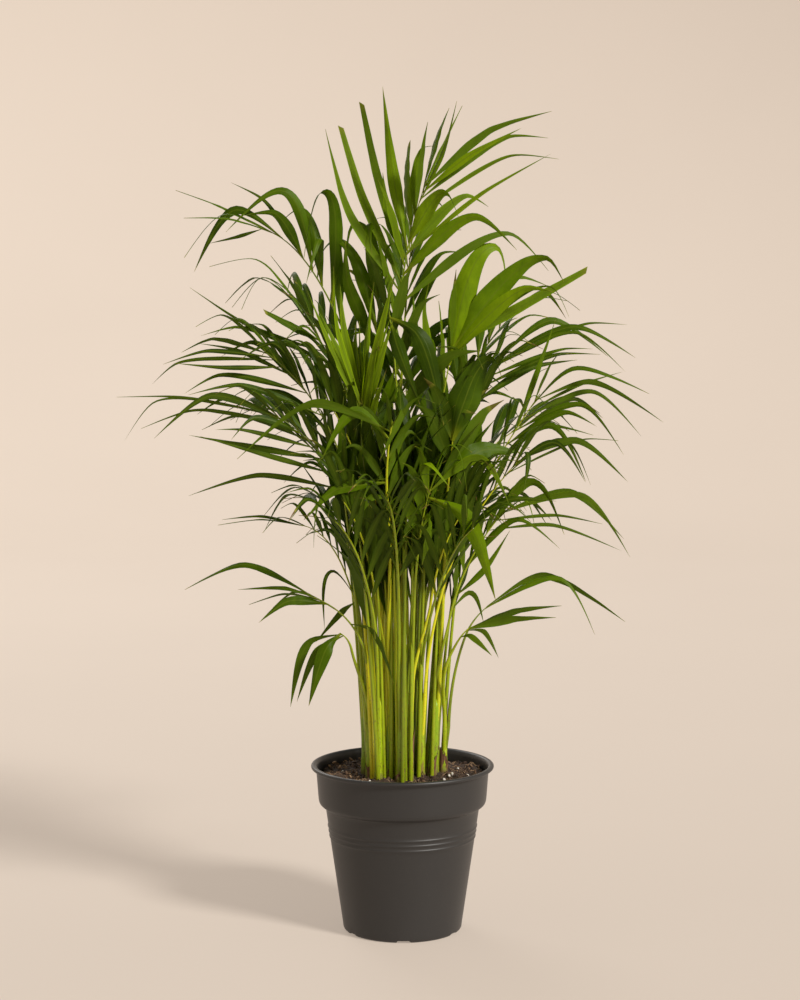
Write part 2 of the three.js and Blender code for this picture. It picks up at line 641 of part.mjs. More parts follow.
const takenSeats = new Set();
const SEATS = [0, 1, 2];
for (const one of fronds) {
  const free = SEATS.filter((seat) => !takenSeats.has(`${one.caneNumber} ${seat}`));
  const choices = STALK_MOVES.flatMap((by) => free.map((seat) => ({ by: new THREE.Vector3(...by), seat })));
  const chosen = choices.find(({ by, seat }) => {
    const trial = stalkSolid(stalkOf(one, seat, by), LEAF.clearance);
    const clear = isClear(one.name, trial);
    trial.delete();
    return clear;
  });
  if (!chosen) throw new Error(`${one.name} finds no free way up`);
  takenSeats.add(`${one.caneNumber} ${chosen.seat}`);
  one.stalk = stalkOf(one, chosen.seat, chosen.by);
  one.parts = [stalkSolid(one.stalk, 0)];
  place(one.name, one.parts[0]);
}

function addLeaflet(one, leaflet) {
  for (const { depth, rise } of LEAF_MOVES) {
    const bend = leaflet.bend.clone().add(new THREE.Vector3(0, depth * 0.6, rise));
    const tip = leaflet.tip.clone().add(new THREE.Vector3(0, depth, 0));
    const moved = { ...leaflet, bend, tip };
    const trial = leafletSolid(moved, LEAF.clearance);
    const free = isClear(one.name, trial);
    trial.delete();
    if (free) {
      one.parts.push(leafletSolid(moved, 0));
      place(one.name, one.parts.at(-1));
      return;
    }
  }
}

for (const one of fronds) {
  drawnLeaflets(one.stalk, one.leaflets).forEach((leaflet) => addLeaflet(one, leaflet));
}
for (const one of fronds.filter((each) => each.fill)) {
  ruledLeaflets(one.stalk, one.fill).forEach((leaflet) => addLeaflet(one, leaflet));
}

// ---------------------------------------------------------------- assembly
const group = new THREE.Group();
group.add(toMesh(potSolid(), "pot", MATERIAL.pot));
group.add(toMesh(soilSolid(), "soil", MATERIAL.soil));
canes.forEach((one, i) => {
  const name = `cane_${String(i + 1).padStart(2, "0")}`;
  group.add(toMesh(caneSolid(one, 0), name, MATERIAL.cane));
});
for (const one of fronds) {
  const whole = one.parts.reduce((joined, next) => joined.add(next));
  group.add(toMesh(whole, one.name, MATERIAL.frond));
}

export default group;
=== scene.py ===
# Potted areca palm: leafy canes rooted in potting mix, in a round plastic nursery pot.
# Shapes are worked out in millimetres, +Z up and -Y the front, and become metres in Piece.finish.
import math
import random

import bpy
import numpy as np
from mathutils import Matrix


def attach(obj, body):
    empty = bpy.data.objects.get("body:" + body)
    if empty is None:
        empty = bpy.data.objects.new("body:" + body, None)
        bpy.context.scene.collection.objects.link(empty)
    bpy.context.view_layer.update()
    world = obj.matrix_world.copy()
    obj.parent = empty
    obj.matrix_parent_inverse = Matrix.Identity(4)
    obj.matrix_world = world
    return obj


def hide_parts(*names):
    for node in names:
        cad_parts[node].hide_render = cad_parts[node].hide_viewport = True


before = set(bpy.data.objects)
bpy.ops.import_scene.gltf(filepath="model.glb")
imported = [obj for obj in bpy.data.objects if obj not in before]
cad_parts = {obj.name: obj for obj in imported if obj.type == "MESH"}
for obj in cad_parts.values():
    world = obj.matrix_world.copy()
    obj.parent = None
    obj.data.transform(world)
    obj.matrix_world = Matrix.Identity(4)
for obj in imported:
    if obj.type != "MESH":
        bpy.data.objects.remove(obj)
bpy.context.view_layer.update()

# ---- sizes
EYE = np.array([-2.0, -2200.0, 624.0])  # where the photograph was taken from
SOIL_LEVEL = 148.0
ROOTED_DEPTH = 14.0
PETIOLE_RING = 2.5  # how far a petiole starts from its cane's middle
CANE_SLIM = 0.8  # share of its stated radius that a cane has
BEND_EASE = 0.62  # a leaflet's tangent at its bend: smaller is sharper
RULE_DENSITY = 1.45  # ruled leaflets for each one stated, before they are slimmed
BROAD_BLADE = 13  # a drawn blade with a larger stated width faces the eye
SHOOT_PULL = 0.9  # draws the feet of the thin shoots in towards x = 0
FOOT_SHARE = 0.13  # a leaflet's width at its foot, as a share of its greatest
UP = np.array([0.0, 0.0, 1.0])
RIGHT = np.array([1.0, 0.0, 0.0])


def turns(count):
    """Angles of this many equal steps round a circle."""
    return np.arange(count) / count * math.tau


ROUND = 10
AROUND = turns(ROUND)
CANE_AROUND = turns(18)


# ---- curve helpers
def unit(vector):
    return vector / np.linalg.norm(vector)


def smooth(value):
    value = np.clip(value, 0.0, 1.0)
    return value * value * (3 - 2 * value)


def mix(a, b, share):
    return a + (b - a) * share


def compass(angle):
    """The level direction at this angle from +X."""
    return np.array([math.cos(angle), math.sin(angle), 0])


def sight_point(x, z, depth):
    """The point at this depth on the eye's line through (x, z) of the front elevation."""
    share = 1 + depth / -EYE[1]
    return np.array([EYE[0] + (x - EYE[0]) * share, depth, EYE[2] + (z - EYE[2]) * share])


def bezier(points, t):
    """Points at t, from 0 to 1, of the curve that these control points give."""
    t = np.asarray(t, float)[:, None]
    while len(points) > 1:
        points = [a + (b - a) * t for a, b in zip(points, points[1:])]
    return points[0]


def frames_along(points, first_across):
    """Tangent, sideways and upward directions along a curve, with as little twist as can be."""
    tangents = np.gradient(points, axis=0)
    tangents = tangents / np.linalg.norm(tangents, axis=1)[:, None]
    across = np.array(first_across, float)
    sideways = []
    for tangent in tangents:
        across = unit(across - tangent * across.dot(tangent))
        sideways.append(across)
    sideways = np.array(sideways)
    return tangents, sideways, np.cross(tangents, sideways)


def round_rings(path, across, up, sizes, shape=1.0, flat=1.0, angles=AROUND):
    """Rings round a path: their sizes, their outline, and how tall they are for their width."""
    wide = (np.cos(angles) * shape)[:, None] * across[:, None]
    tall = (np.sin(angles) * shape * flat)[:, None] * up[:, None]
    return path[:, None] + (wide + tall) * np.reshape(sizes, (-1, 1, 1))


def level_ring(angles, radius, z):
    """A ring round the pot's axis; its radius and its height may change with the angle."""
    return np.stack([np.cos(angles) * radius, np.sin(angles) * radius, z + 0 * angles], axis=1)


# ---- mesh pieces
VALUES = ("across", "across_mm", "along", "tone", "age", "under")


def faces_between(spans, around):
    """Four-sided faces between rings of this many points, as lists of point numbers."""
    starts = np.arange(spans)[:, None] * around
    near = (starts + np.arange(around)).ravel()
    near_next = (starts + (np.arange(around) + 1) % around).ravel()
    return np.stack([near, near_next, near_next + around, near + around], axis=1)


def add_object(name, data):
    made = bpy.data.objects.new(name, data)
    bpy.context.scene.collection.objects.link(made)
    return made


class Piece:
    """Gathers closed tubes and lumps in millimetres, with a value of each kind at every point."""

    def __init__(self, name):
        self.name = name
        self.points = []
        self.values = {kind: [] for kind in VALUES}
        self.faces = []
        self.surfaces = []
        self.count = 0

    def tube(self, rings, surface=0, ring_shaped=False, **values):
        """Joins rings of points, an array of stations by points by 3, and closes both ends."""
        stations, around, _ = rings.shape
        count = stations * around
        faces = (faces_between(stations if ring_shaped else stations - 1, around) % count).tolist()
        if not ring_shaped:
            faces += [list(range(around))[::-1], list(range(count - around, count))]
        self.points.append(rings.reshape(-1, 3))
        for kind in VALUES:
            self.values[kind].append(np.broadcast_to(values.get(kind, 0.0), count))
        self.faces += [[corner + self.count for corner in face] for face in faces]
        self.surfaces += [surface] * len(faces)
        self.count += count

    def lump(self, centre, size, source, surface, **values):
        """An irregular stone or chip: a seven-sided drum with its corners moved at random."""
        angles = turns(7) + source.uniform(0, 6)
        turn = unit(np.array([source.gauss(0, 1) for _ in range(3)]))
        side = unit(np.cross(turn, [0.3, 0.9, 0.2]))
        other = np.cross(turn, side)
        flat = np.cos(angles)[:, None] * side * size[0] + np.sin(angles)[:, None] * other * size[1]
        rings = []
        for height, share in ((-1, 0.55), (-0.45, 0.95), (0.45, 1.0), (1, 0.5)):
            wobble = np.array([source.uniform(0.7, 1.2) for _ in angles])[:, None]
            rings.append(centre + flat * share * wobble + turn * height * size[2])
        self.tube(np.array(rings), surface, **values)

    def finish(self, node, materials, sharp=50):
        points = np.concatenate(self.points) * 0.001
        mesh = bpy.data.meshes.new(self.name)
        mesh.from_pydata(points.tolist(), [], self.faces)
        for kind in VALUES:
            store = mesh.attributes.new(kind, "FLOAT", "POINT")
            store.data.foreach_set("value", np.concatenate(self.values[kind]).astype(np.float32))
        for material in materials:
            mesh.materials.append(material)
        mesh.polygons.foreach_set("material_index", self.surfaces)
        mesh.polygons.foreach_set("use_smooth", [True] * len(self.faces))
        mesh.update()
        mesh.set_sharp_from_angle(angle=math.radians(sharp))
        piece = add_object(self.name, mesh)
        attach(piece, "root")
        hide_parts(node)


# ---- node materials
class Surface:
    """A node material with a principled shader, and short ways to add its nodes."""

    def __init__(self, name):
        self.material = bpy.data.materials.new(name)
        self.material.use_nodes = True
        self.tree = self.material.node_tree
        self.shader = self.tree.nodes["Principled BSDF"]
        self.color = None

    def feed(self, socket, value):
        if isinstance(value, bpy.types.NodeSocket):
            self.tree.links.new(value, socket)
        else:
            socket.default_value = value

    def node(self, kind, inputs, output=0, **settings):
        made = self.tree.nodes.new(kind)
        for name, value in settings.items():
            setattr(made, name, value)
        for name, value in inputs.items():
            self.feed(made.inputs[name], value)
        return made.outputs[output]

    def set(self, **inputs):
        for name, value in inputs.items():
            self.feed(self.shader.inputs[name.replace("_", " ")], value)

    def value(self, name):
        return self.node("ShaderNodeAttribute", {}, output="Fac", attribute_name=name)

    def math(self, operation, a, b=0.0, c=0.0):
        return self.node("ShaderNodeMath", {0: a, 1: b, 2: c}, operation=operation)

    def times(self, a, b):
        return self.math("MULTIPLY", a, b)

    def plus(self, a, b):
        return self.math("ADD", a, b)

    def less(self, a, b):
        return self.math("SUBTRACT", a, b)

    def line(self, value, slope, start):
        return self.math("MULTIPLY_ADD", value, slope, start)

    def varied_tone(self, value, slope, drop):
        """The points' tone, moved up and down by a value; on fronds the tone is partly painted
        light and shade.
        """
        return self.line(value, slope, self.less(self.value("tone"), drop))

    def band(self, value, low, high):
        """0 below low and 1 above high, or the other way round where low is the larger."""
        inputs = {"Value": value, "From Min": low, "From Max": high}
        return self.node("ShaderNodeMapRange", inputs, interpolation_type="SMOOTHSTEP")

    def blend(self, share, a, b):
        """Color a at share 0 and b at share 1. The mixed color is output 2 of its node."""
        b = (*b, 1) if isinstance(b, tuple) else b
        colors = {0: share, 6: a, 7: b}
        return self.node("ShaderNodeMix", colors, output=2, data_type="RGBA")

    def tint(self, share, most, color):
        """Draws the surface's color towards this one, by the share times the most."""
        self.color = self.blend(self.times(share, most), self.color, color)

    def done(self, **inputs):
        self.set(Base_Color=self.color, **inputs)
        return self.material

    def place(self, scale=(1.0, 1.0, 1.0)):
        here = self.node("ShaderNodeTexCoord", {}, output="Object")
        return self.node("ShaderNodeMapping", {"Vector": here, "Scale": scale})

    def height(self):
        return self.node("ShaderNodeSeparateXYZ", {0: self.place()}, output="Z")

    def noise(self, scale, detail=4.0, rough=0.55, x=1.0, y=1.0, z=1.0):
        """Noise; below 1, x, y or z draws it out along that axis."""
        here = self.place((x, y, z))
        inputs = {"Vector": here, "Scale": scale, "Detail": detail, "Roughness": rough}
        return self.node("ShaderNodeTexNoise", inputs)

    def ramp(self, value, stops):
        made = self.tree.nodes.new("ShaderNodeValToRGB")
        self.tree.links.new(value, made.inputs[0])
        elements = made.color_ramp.elements
        while len(elements) < len(stops):
            elements.new(0.5)
        for element, (position, color) in zip(elements, stops):
            element.position = position
            element.color = (*color, 1.0)
        return made.outputs[0]

    def bump(self, height, strength, distance):
        inputs = {"Height": height, "Strength": strength, "Distance": distance}
        self.set(Normal=self.node("ShaderNodeBump", inputs))

    def glow_through(self, share, color):
        """Lets light through a thin blade, in this color."""
        leaf = self.node("ShaderNodeBsdfTranslucent", {"Color": color})
        both = self.node("ShaderNodeMixShader", {0: share, 1: self.shader.outputs[0], 2: leaf})
        self.tree.links.new(both, self.tree.nodes["Material Output"].inputs[0])


def leaf_material():
    """Blades: green by their tone, which is partly painted light and shade, ribbed, yellowish at
    the foot and brown where they are dry.
    """
    leaf = Surface("palm_leaf")
    across_mm = leaf.value("across_mm")
    along = leaf.value("along")
    under = leaf.value("under")
    mottle = leaf.noise(38.0)
    streak = leaf.noise(160.0, 3.0, z=0.25)
    # Dark to light green. The darkest and the lightest stops stand partly for blades in shade and
    # blades in the light: painted shade and painted light.
    greens = [
        (0.0, (0.007, 0.016, 0.0006)),
        (0.3, (0.033, 0.068, 0.0008)),
        (0.62, (0.118, 0.210, 0.0012)),
        (1.0, (0.345, 0.510, 0.002)),
    ]
    leaf.color = leaf.ramp(leaf.varied_tone(mottle, 0.42, 0.21), greens)
    ribs = leaf.line(leaf.math("SINE", leaf.times(across_mm, 7.4)), 0.5, 0.5)
    second = leaf.less(leaf.math("ABSOLUTE", leaf.value("across")), 0.42)
    second = leaf.band(leaf.math("ABSOLUTE", second), 0.05, 0.0)
    midrib = leaf.band(leaf.math("ABSOLUTE", across_mm), 0.75, 0.25)
    pale = leaf.blend(0.4, leaf.color, (0.26, 0.37, 0.006))
    leaf.tint(ribs, 0.16, pale)
    leaf.tint(second, 0.35, pale)
    leaf.tint(midrib, 0.55, (0.15, 0.20, 0.012))
    leaf.tint(leaf.band(streak, 0.5, 0.8), 0.25, (0.012, 0.026, 0.002))
    leaf.tint(leaf.band(along, 0.13, 0.0), 0.7, (0.28, 0.32, 0.012))
    reach = leaf.plus(along, leaf.times(mottle, 0.06))
    dry = leaf.less(leaf.plus(reach, leaf.value("age")), 1.03)
    leaf.tint(leaf.band(dry, -0.06, 0.0), 0.7, (0.42, 0.36, 0.05))
    leaf.tint(leaf.band(dry, 0.0, 0.02), 1.0, (0.20, 0.105, 0.035))
    leaf.tint(under, 0.55, (0.095, 0.150, 0.006))
    rough = leaf.line(under, 0.16, leaf.line(mottle, 0.16, 0.30))
    height = leaf.plus(leaf.times(ribs, 0.35), leaf.times(second, 0.6))
    leaf.bump(leaf.plus(height, leaf.times(streak, 0.5)), 0.45, 0.0004)
    leaf.glow_through(0.36, leaf.blend(0.45, leaf.color, (0.36, 0.56, 0.002)))
    return leaf.done(Roughness=rough, IOR=1.36, Specular_IOR_Level=0.22)


def stalk_material():
    """Petioles and the leafy midribs: yellow low down, greener and darker towards the leaves; the
    greener is their own colour, the darker is painted shade from the leaves above.
    """
    stalk = Surface("palm_stalk")
    height = stalk.height()
    streak = stalk.noise(420.0, 3.0, z=0.04)
    speck = stalk.noise(900.0, 2.0, z=0.45)
    share = stalk.varied_tone(streak, 0.5, 0.25)
    yellows = [(0.0, (0.10, 0.14, 0.004)), (0.5, (0.30, 0.38, 0.005)), (1.0, (0.62, 0.60, 0.012))]
    greens = [(0.0, (0.05, 0.09, 0.004)), (0.5, (0.13, 0.20, 0.005)), (1.0, (0.34, 0.42, 0.012))]
    # Painted shade, in part: the leafy part takes the darker greens, for the shade of the leaves
    # over it.
    leafy = stalk.band(height, 0.36, 0.54)
    stalk.color = stalk.blend(leafy, stalk.ramp(share, yellows), stalk.ramp(share, greens))
    spots = stalk.times(stalk.band(speck, 0.60, 0.68), stalk.band(height, 0.34, 0.17))
    stalk.tint(spots, 0.7, (0.13, 0.065, 0.02))
    stalk.set(Subsurface_Weight=0.15, Subsurface_Scale=0.002)
    stalk.bump(stalk.plus(streak, spots), 0.3, 0.0003)
    return stalk.done(Roughness=stalk.line(streak, 0.2, 0.28), IOR=1.42)


def cane_material():
    """Sheathed canes: lime green to yellow, brown specks low down, earthy at the soil."""
    skin = Surface("palm_cane")
    height = skin.height()
    streak = skin.noise(380.0, 4.0, z=0.05)
    speck = skin.noise(1100.0, 2.0, z=0.6)
    patch = skin.noise(160.0, 4.0, z=0.35)
    greens = [(0.0, (0.10, 0.15, 0.012)), (0.5, (0.25, 0.37, 0.005)), (1.0, (0.60, 0.61, 0.014))]
    skin.color = skin.ramp(skin.varied_tone(streak, 0.55, 0.27), greens)
    skin.tint(skin.band(height, 0.245, 0.185), 0.45, (0.20, 0.34, 0.006))
    spots = skin.times(skin.band(speck, 0.58, 0.64), skin.band(height, 0.235, 0.152))
    skin.tint(spots, 0.85, (0.075, 0.035, 0.012))
    scuffs = skin.times(skin.band(patch, 0.54, 0.66), skin.band(height, 0.20, 0.155))
    skin.tint(scuffs, 0.75, (0.21, 0.125, 0.05))
    earth = skin.band(skin.line(patch, 0.012, height), 0.163, 0.154)
    skin.tint(earth, 0.75, (0.11, 0.06, 0.028))
    skin.set(Subsurface_Weight=0.12, Subsurface_Scale=0.002)
    skin.bump(skin.plus(streak, skin.times(patch, 0.8)), 0.4, 0.0004)
    return skin.done(Roughness=skin.line(earth, 0.35, 0.36), IOR=1.42)


def sheath_material():
    """Dry papery sheaths round the foot of a cane."""
    dead = Surface("dry_sheath")
    fibre = dead.noise(520.0, 5.0, 0.65, z=0.06)
    patch = dead.noise(120.0)
    browns = [(0.25, (0.035, 0.014, 0.006)), (0.5, (0.15, 0.07, 0.028)), (0.8, (0.38, 0.25, 0.12))]
    dead.color = dead.ramp(fibre, browns)
    dead.tint(dead.band(patch, 0.45, 0.7), 1.0, (0.09, 0.035, 0.014))
    dead.bump(fibre, 0.8, 0.0008)
    return dead.done(Roughness=dead.line(patch, 0.2, 0.6))


def pot_material():
    """Charcoal moulded plastic: a fine matt grain, faint flow marks and paler scuffed edges."""
    pot = Surface("pot_plastic")
    cloud = pot.noise(9.0, 5.0, z=0.4)
    grain = pot.noise(1700.0, 2.0)
    flow = pot.noise(45.0, 3.0, x=0.4, y=0.4, z=3.0)
    dust = pot.noise(260.0, 6.0, 0.7)
    greys = [(0.25, (0.018, 0.0172, 0.0168)), (0.75, (0.026, 0.0248, 0.024))]
    pot.color = pot.ramp(cloud, greys)
    dusty = pot.times(pot.band(dust, 0.62, 0.74), pot.band(cloud, 0.42, 0.62))
    pot.tint(dusty, 0.35, (0.085, 0.076, 0.066))
    edge = pot.node("ShaderNodeNewGeometry", {}, output="Pointiness")
    worn = pot.times(pot.band(edge, 0.53, 0.62), pot.band(dust, 0.35, 0.65))
    pot.tint(worn, 0.5, (0.075, 0.070, 0.066))
    rough = pot.line(dusty, 0.2, pot.line(cloud, 0.14, 0.36))
    pot.bump(pot.line(flow, 0.6, pot.times(grain, 0.35)), 0.25, 0.0003)
    return pot.done(Roughness=rough, IOR=1.48)


def mix_material():
    """Potting mix: dark damp peat with paler crumbs and fibres."""
    peat = Surface("potting_mix")
    crumbs = peat.noise(260.0, 8.0, 0.7)
    clods = peat.noise(60.0, 4.0)
    fibre = peat.noise(520.0, 3.0, y=0.12)
    damp, dry, pale = (0.010, 0.006, 0.004), (0.040, 0.022, 0.013), (0.13, 0.075, 0.042)
    peat.color = peat.ramp(crumbs, [(0.28, damp), (0.5, dry), (0.72, pale)])
    peat.tint(peat.band(clods, 0.5, 0.68), 0.5, (0.075, 0.042, 0.024))
    peat.tint(peat.band(fibre, 0.66, 0.74), 0.6, (0.24, 0.15, 0.08))
    peat.bump(peat.plus(crumbs, peat.times(clods, 2.0)), 1.0, 0.0022)
    return peat.done(Roughness=peat.line(crumbs, 0.2, 0.75))


def bark_material():
    """Bark chips and fibres, each its own shade of brown by its tone."""
    bark = Surface("bark_chip")
    grain = bark.noise(700.0, 4.0, z=0.3)
    browns = [(0, (0.018, 0.009, 0.005)), (0.45, (0.075, 0.036, 0.018)), (1, (0.42, 0.27, 0.15))]
    bark.color = bark.ramp(bark.varied_tone(grain, 0.4, 0.2), browns)
    bark.bump(grain, 0.8, 0.0008)
    return bark.done(Roughness=bark.line(grain, 0.2, 0.7))


def perlite_material():
    """Pitted pale grains."""
    perlite = Surface("perlite")
    pores = perlite.noise(1400.0, 5.0, 0.7)
    perlite.color = perlite.ramp(pores, [(0.3, (0.46, 0.40, 0.33)), (0.6, (0.80, 0.76, 0.70))])
    perlite.bump(pores, 1.0, 0.0006)
    return perlite.done(Roughness=0.9)


LEAF = leaf_material()
STALK = stalk_material()
CANE = cane_material()
SHEATH = sheath_material()
POT = pot_material()
PEAT = mix_material()
BARK = bark_material()
PERLITE = perlite_material()

# ---- the plant's plan
canes = []
fronds = []


def cane(x, y, radius, *top):
    """A sheathed cane: where it leaves the soil, its radius there, and where its sheath ends."""
    foot = np.array([x, y, SOIL_LEVEL], float)
    canes.append(dict(foot=foot, radius=radius, top=np.array(top, float), fronds=0))


def frond(name, cane_number, throat, middle, end, tone, slim=0.84, foot=FOOT_SHARE):
    """A frond of one cane: [x, z, depth] of the throat, the middle and the end of its leafy part,
    how light its green is, from 0 to 1, which is partly the frond's own green and partly painted
    light and shade (fronds in the light get lighter greens, fronds in shade darker ones), what
    share of their stated width its leaflets have, and what share of that they have at their foot."""
    points = [sight_point(*throat), sight_point(*middle), sight_point(*end)]
    fronds.append(dict(
        name="frond_" + name, cane=canes[cane_number - 1], number=cane_number, points=points,
        tone=tone, slim=slim, foot=foot, leaflets=[], fill=None))


def leaf(place, depth, width, bend_x, bend_z, tip_x, tip_z, cut=False):
    """A listed leaflet: its place along the leafy part, the depth of its tip beside its
    base, its width, its bend (x, z) and its tip (x, z). A cut leaflet ends blunt."""
    fronds[-1]["leaflets"].append(dict(
        place=place, depth=depth, width=width, bend=(bend_x, bend_z), tip=(tip_x, tip_z),
        cut=cut, dry=0.0))


def fill(count, length, width, droop, spread=1.0):
    """Leaflets set out by rule, left and right in turn. Droop is how far they hang; a small spread
    sets them close to the stalk's line."""
    fronds[-1]["fill"] = (count, length, width, droop, spread)


cane(-29, -22, 4.3, -31.5, -23, 205)
cane(-22, -33, 3.6, -21, -35, 222)
cane(-12.5, -27, 3.4, -12.5, -29, 215)
cane(-2, -39, 3.5, -1, -41, 240)
cane(6, -30, 3.9, 7.5, -31, 232)
cane(16.5, -18, 3.5, 18, -19, 222)
cane(28, -9, 4.5, 31, -10, 216)
cane(-34, -4, 4.0, -36, -4, 228)
cane(-17, -8, 3.9, -17.5, -8, 246)
cane(2, -12, 3.9, 2, -12, 256)
cane(-25, 14, 4.1, -27, 15, 242)
cane(-7, 8, 4.1, -7, 9, 262)
cane(12, 8, 4.1, 13, 9, 252)
cane(30, 13, 4.2, 33, 14, 236)
cane(-12, 29, 4.0, -13.5, 32, 238)
cane(12, 29, 4.0, 14, 32, 240)
cane(38, 2, 3.4, 40, 2, 190)

# A frond's tone is partly its own green and partly painted light and shade: the high fronds on the
# right, in the light, are lighter, and the fronds inside, behind and low on the left, in shade, are
# darker.
frond("crown", 12, [-9, 505, 8], [1, 612, 6], [22, 694, 2], 0.72, 0.86)
leaf(0.6, 20, 14, -9, 702, -18, 778)
leaf(0.52, -14, 10, -24, 702, -37, 763, cut=True)
leaf(0.44, 14, 10, -37, 680, -56, 742, cut=True)
leaf(0.4, -26, 10, -50, 668, -70, 740)
leaf(0.56, -30, 11, -13, 662, -18, 701)
leaf(0.7, 26, 13, 4, 700, 6, 727, cut=True)
leaf(0.78, -22, 12, 17, 722, 28, 725)
leaf(0.92, 14, 9, 37, 726, 54, 761)
leaf(0.86, -18, 6, 38, 722, 49, 765)
leaf(0.96, 18, 10, 80, 739, 135, 756)
leaf(0.92, -22, 8, 62, 717, 108, 741)
leaf(0.88, 26, 8, 96, 733, 132, 732)
leaf(0.8, 8, 5, 98, 716, 142, 713)
leaf(0.58, -32, 5, 72, 682, 135, 718)
leaf(0.64, -36, 18, 38, 683, 51, 660)
leaf(0.58, 28, 13, 58, 680, 78, 670)
leaf(0.48, -34, 15, 66, 661, 104, 631)
leaf(0.34, 30, 11, 96, 646, 133, 612)
fill(4, 120, 12, 0.1)

frond("right_high", 14, [28, 440, 12], [37, 496, 14], [46, 545, 14], 0.7, 0.9)
leaf(0.8, 18, 26, 84, 634, 95, 593)
leaf(0.95, -14, 26, 130, 624, 147, 602)
leaf(1, 8, 11, 105, 578, 168, 613, cut=True)
leaf(0.9, 30, 13, 104, 606, 133, 598)
leaf(0.9, -26, 16, 112, 596, 138, 593)
leaf(0.85, -34, 5, 134, 598, 152, 570)
leaf(0.4, -18, 11, 20, 576, 24, 601)
leaf(0.3, 16, 9, 11, 568, 10, 598)
fill(4, 120, 16, 0.2)

frond("heart_right", 7, [41, 390, -28], [43, 428, -34], [46, 464, -40], 0.45, 0.95)
leaf(0.9, -14, 31, 82, 532, 91, 514)
leaf(0.95, 8, 15, 50, 540, 30, 543)
leaf(0.5, 20, 20, 74, 448, 108, 446)
fill(4, 110, 18, 0.2)

frond("heart", 10, [-2, 430, -23], [-5, 506, -28], [-12, 572, -29], 0.42, 0.95)
leaf(0.98, -16, 19, 12, 556, 38, 470)
leaf(0.94, -34, 14, -4, 542, 16, 490)
leaf(1, 12, 9, -12, 592, -5, 612)
leaf(0.4, -24, 19, -12, 500, -8, 521)
leaf(0.8, 24, 15, 26, 545, 28, 515)
fill(5, 120, 16, 0.2)

frond("heart_left", 11, [-22, 460, 14], [-24, 530, 16], [-20, 588, 16], 0.6)
leaf(0.9, -24, 17, -31, 655, -28, 626)
leaf(0.95, 10, 10, -42, 655, -51, 612)
leaf(0.7, 26, 16, -60, 640, -84, 610)
leaf(0.6, -30, 15, -50, 602, -52, 640)
fill(5, 120, 16, 0.25)

# The fan's tone is past the top of the green ramp. It is partly the young frond's own yellow-green
# and partly painted light, because the fan stands in the shade of the fronds before it.
frond("fan", 9, [-36, 448, -26], [-38, 472, -28], [-38, 494, -28], 1.3, 1.0, 0.5)
leaf(0.8, -10, 6, -62, 535, -87, 594)
leaf(0.75, 10, 7, -58, 538, -77, 576)
leaf(0.9, -18, 6, -60, 562, -63, 616)
leaf(0.95, 14, 8, -53, 556, -57, 600)
leaf(1, -8, 8, -34, 545, -28, 592)
leaf(1, 12, 8, -31, 558, -26, 602)
leaf(0.8, -24, 9, -23, 545, -8, 607)
leaf(0.9, 22, 9, -44, 528, -42, 566)
fill(8, 112, 8, 0.04, 0.5)

frond("left_high", 11, [-40, 520, 26], [-82, 612, 32], [-128, 650, 38], 0.44, 0.72)
leaf(0.95, 26, 6, -168, 671, -206, 685)
leaf(0.9, -30, 6, -158, 659, -199, 660)
leaf(0.8, 14, 12, -152, 667, -190, 611)
leaf(0.86, -14, 6, -163, 663, -199, 624)
leaf(0.5, -10, 15, -108, 684, -161, 647)
leaf(0.3, -30, 18, -71, 684, -90, 622)
leaf(0.62, 20, 6, -126, 676, -156, 692)
leaf(0.6, -24, 15, -116, 664, -144, 662)
leaf(0.4, 30, 16, -92, 668, -112, 655)
leaf(0.45, -40, 10, -75, 641, -88, 600)
leaf(1, 2, 5, -150, 643, -176, 637)
leaf(0.2, 34, 15, -60, 640, -62, 670)

frond("left_upper", 8, [-38, 455, 4], [-58, 515, 4], [-84, 562, 4], 0.42, 0.74)
leaf(1, 24, 8, -132, 622, -176, 616)
leaf(0.92, -14, 13, -98, 596, -120, 626)
leaf(0.96, 14, 13, -92, 583, -108, 592, cut=True)
leaf(0.84, -26, 11, -102, 562, -126, 575, cut=True)
leaf(0.72, 18, 6, -140, 562, -194, 597)
leaf(0.6, -18, 7, -150, 561, -184, 553)
leaf(0.68, -34, 9, -90, 562, -108, 549)
leaf(1, 8, 4, -128, 606, -147, 577)
fill(4, 100, 14, 0.2)

frond("left_spray", 1, [-39, 385, -18], [-74, 480, -20], [-128, 540, -24], 0.27, 0.56)
leaf(0.96, 16, 11, -174, 550, -202, 538)
leaf(0.92, -14, 8, -180, 539, -219, 527)
leaf(0.84, -26, 8, -164, 524, -209, 528)
leaf(0.9, 28, 7, -206, 528, -229, 509)
leaf(0.64, -10, 10, -168, 517, -200, 500)
leaf(0.76, 16, 9, -152, 540, -186, 546)
leaf(0.5, -22, 11, -150, 508, -196, 499)
leaf(0.64, 26, 14, -136, 547, -166, 534)
leaf(0.7, -34, 14, -118, 546, -150, 530)
leaf(0.4, 20, 14, -110, 500, -150, 505)
fill(5, 110, 14, 0.3)

frond("left_low_spray", 2, [-35, 340, -42], [-62, 426, -52], [-118, 481, -61], 0.3, 0.56)
leaf(1, -4, 6, -205, 497, -262, 497)
leaf(0.97, 12, 5, -226, 493, -255, 457)
leaf(0.92, -16, 13, -176, 498, -228, 459)
leaf(0.86, 14, 8, -190, 485, -240, 468)
leaf(0.74, 26, 13, -150, 480, -184, 467)
leaf(0.6, 4, 11, -148, 453, -196, 462)
leaf(0.5, -14, 9, -130, 445, -186, 461)
leaf(0.8, -30, 12, -136, 478, -157, 458)
leaf(0.4, 22, 10, -132, 425, -197, 406)
leaf(0.68, -24, 8, -148, 467, -172, 467)
fill(5, 106, 13, 0.32)

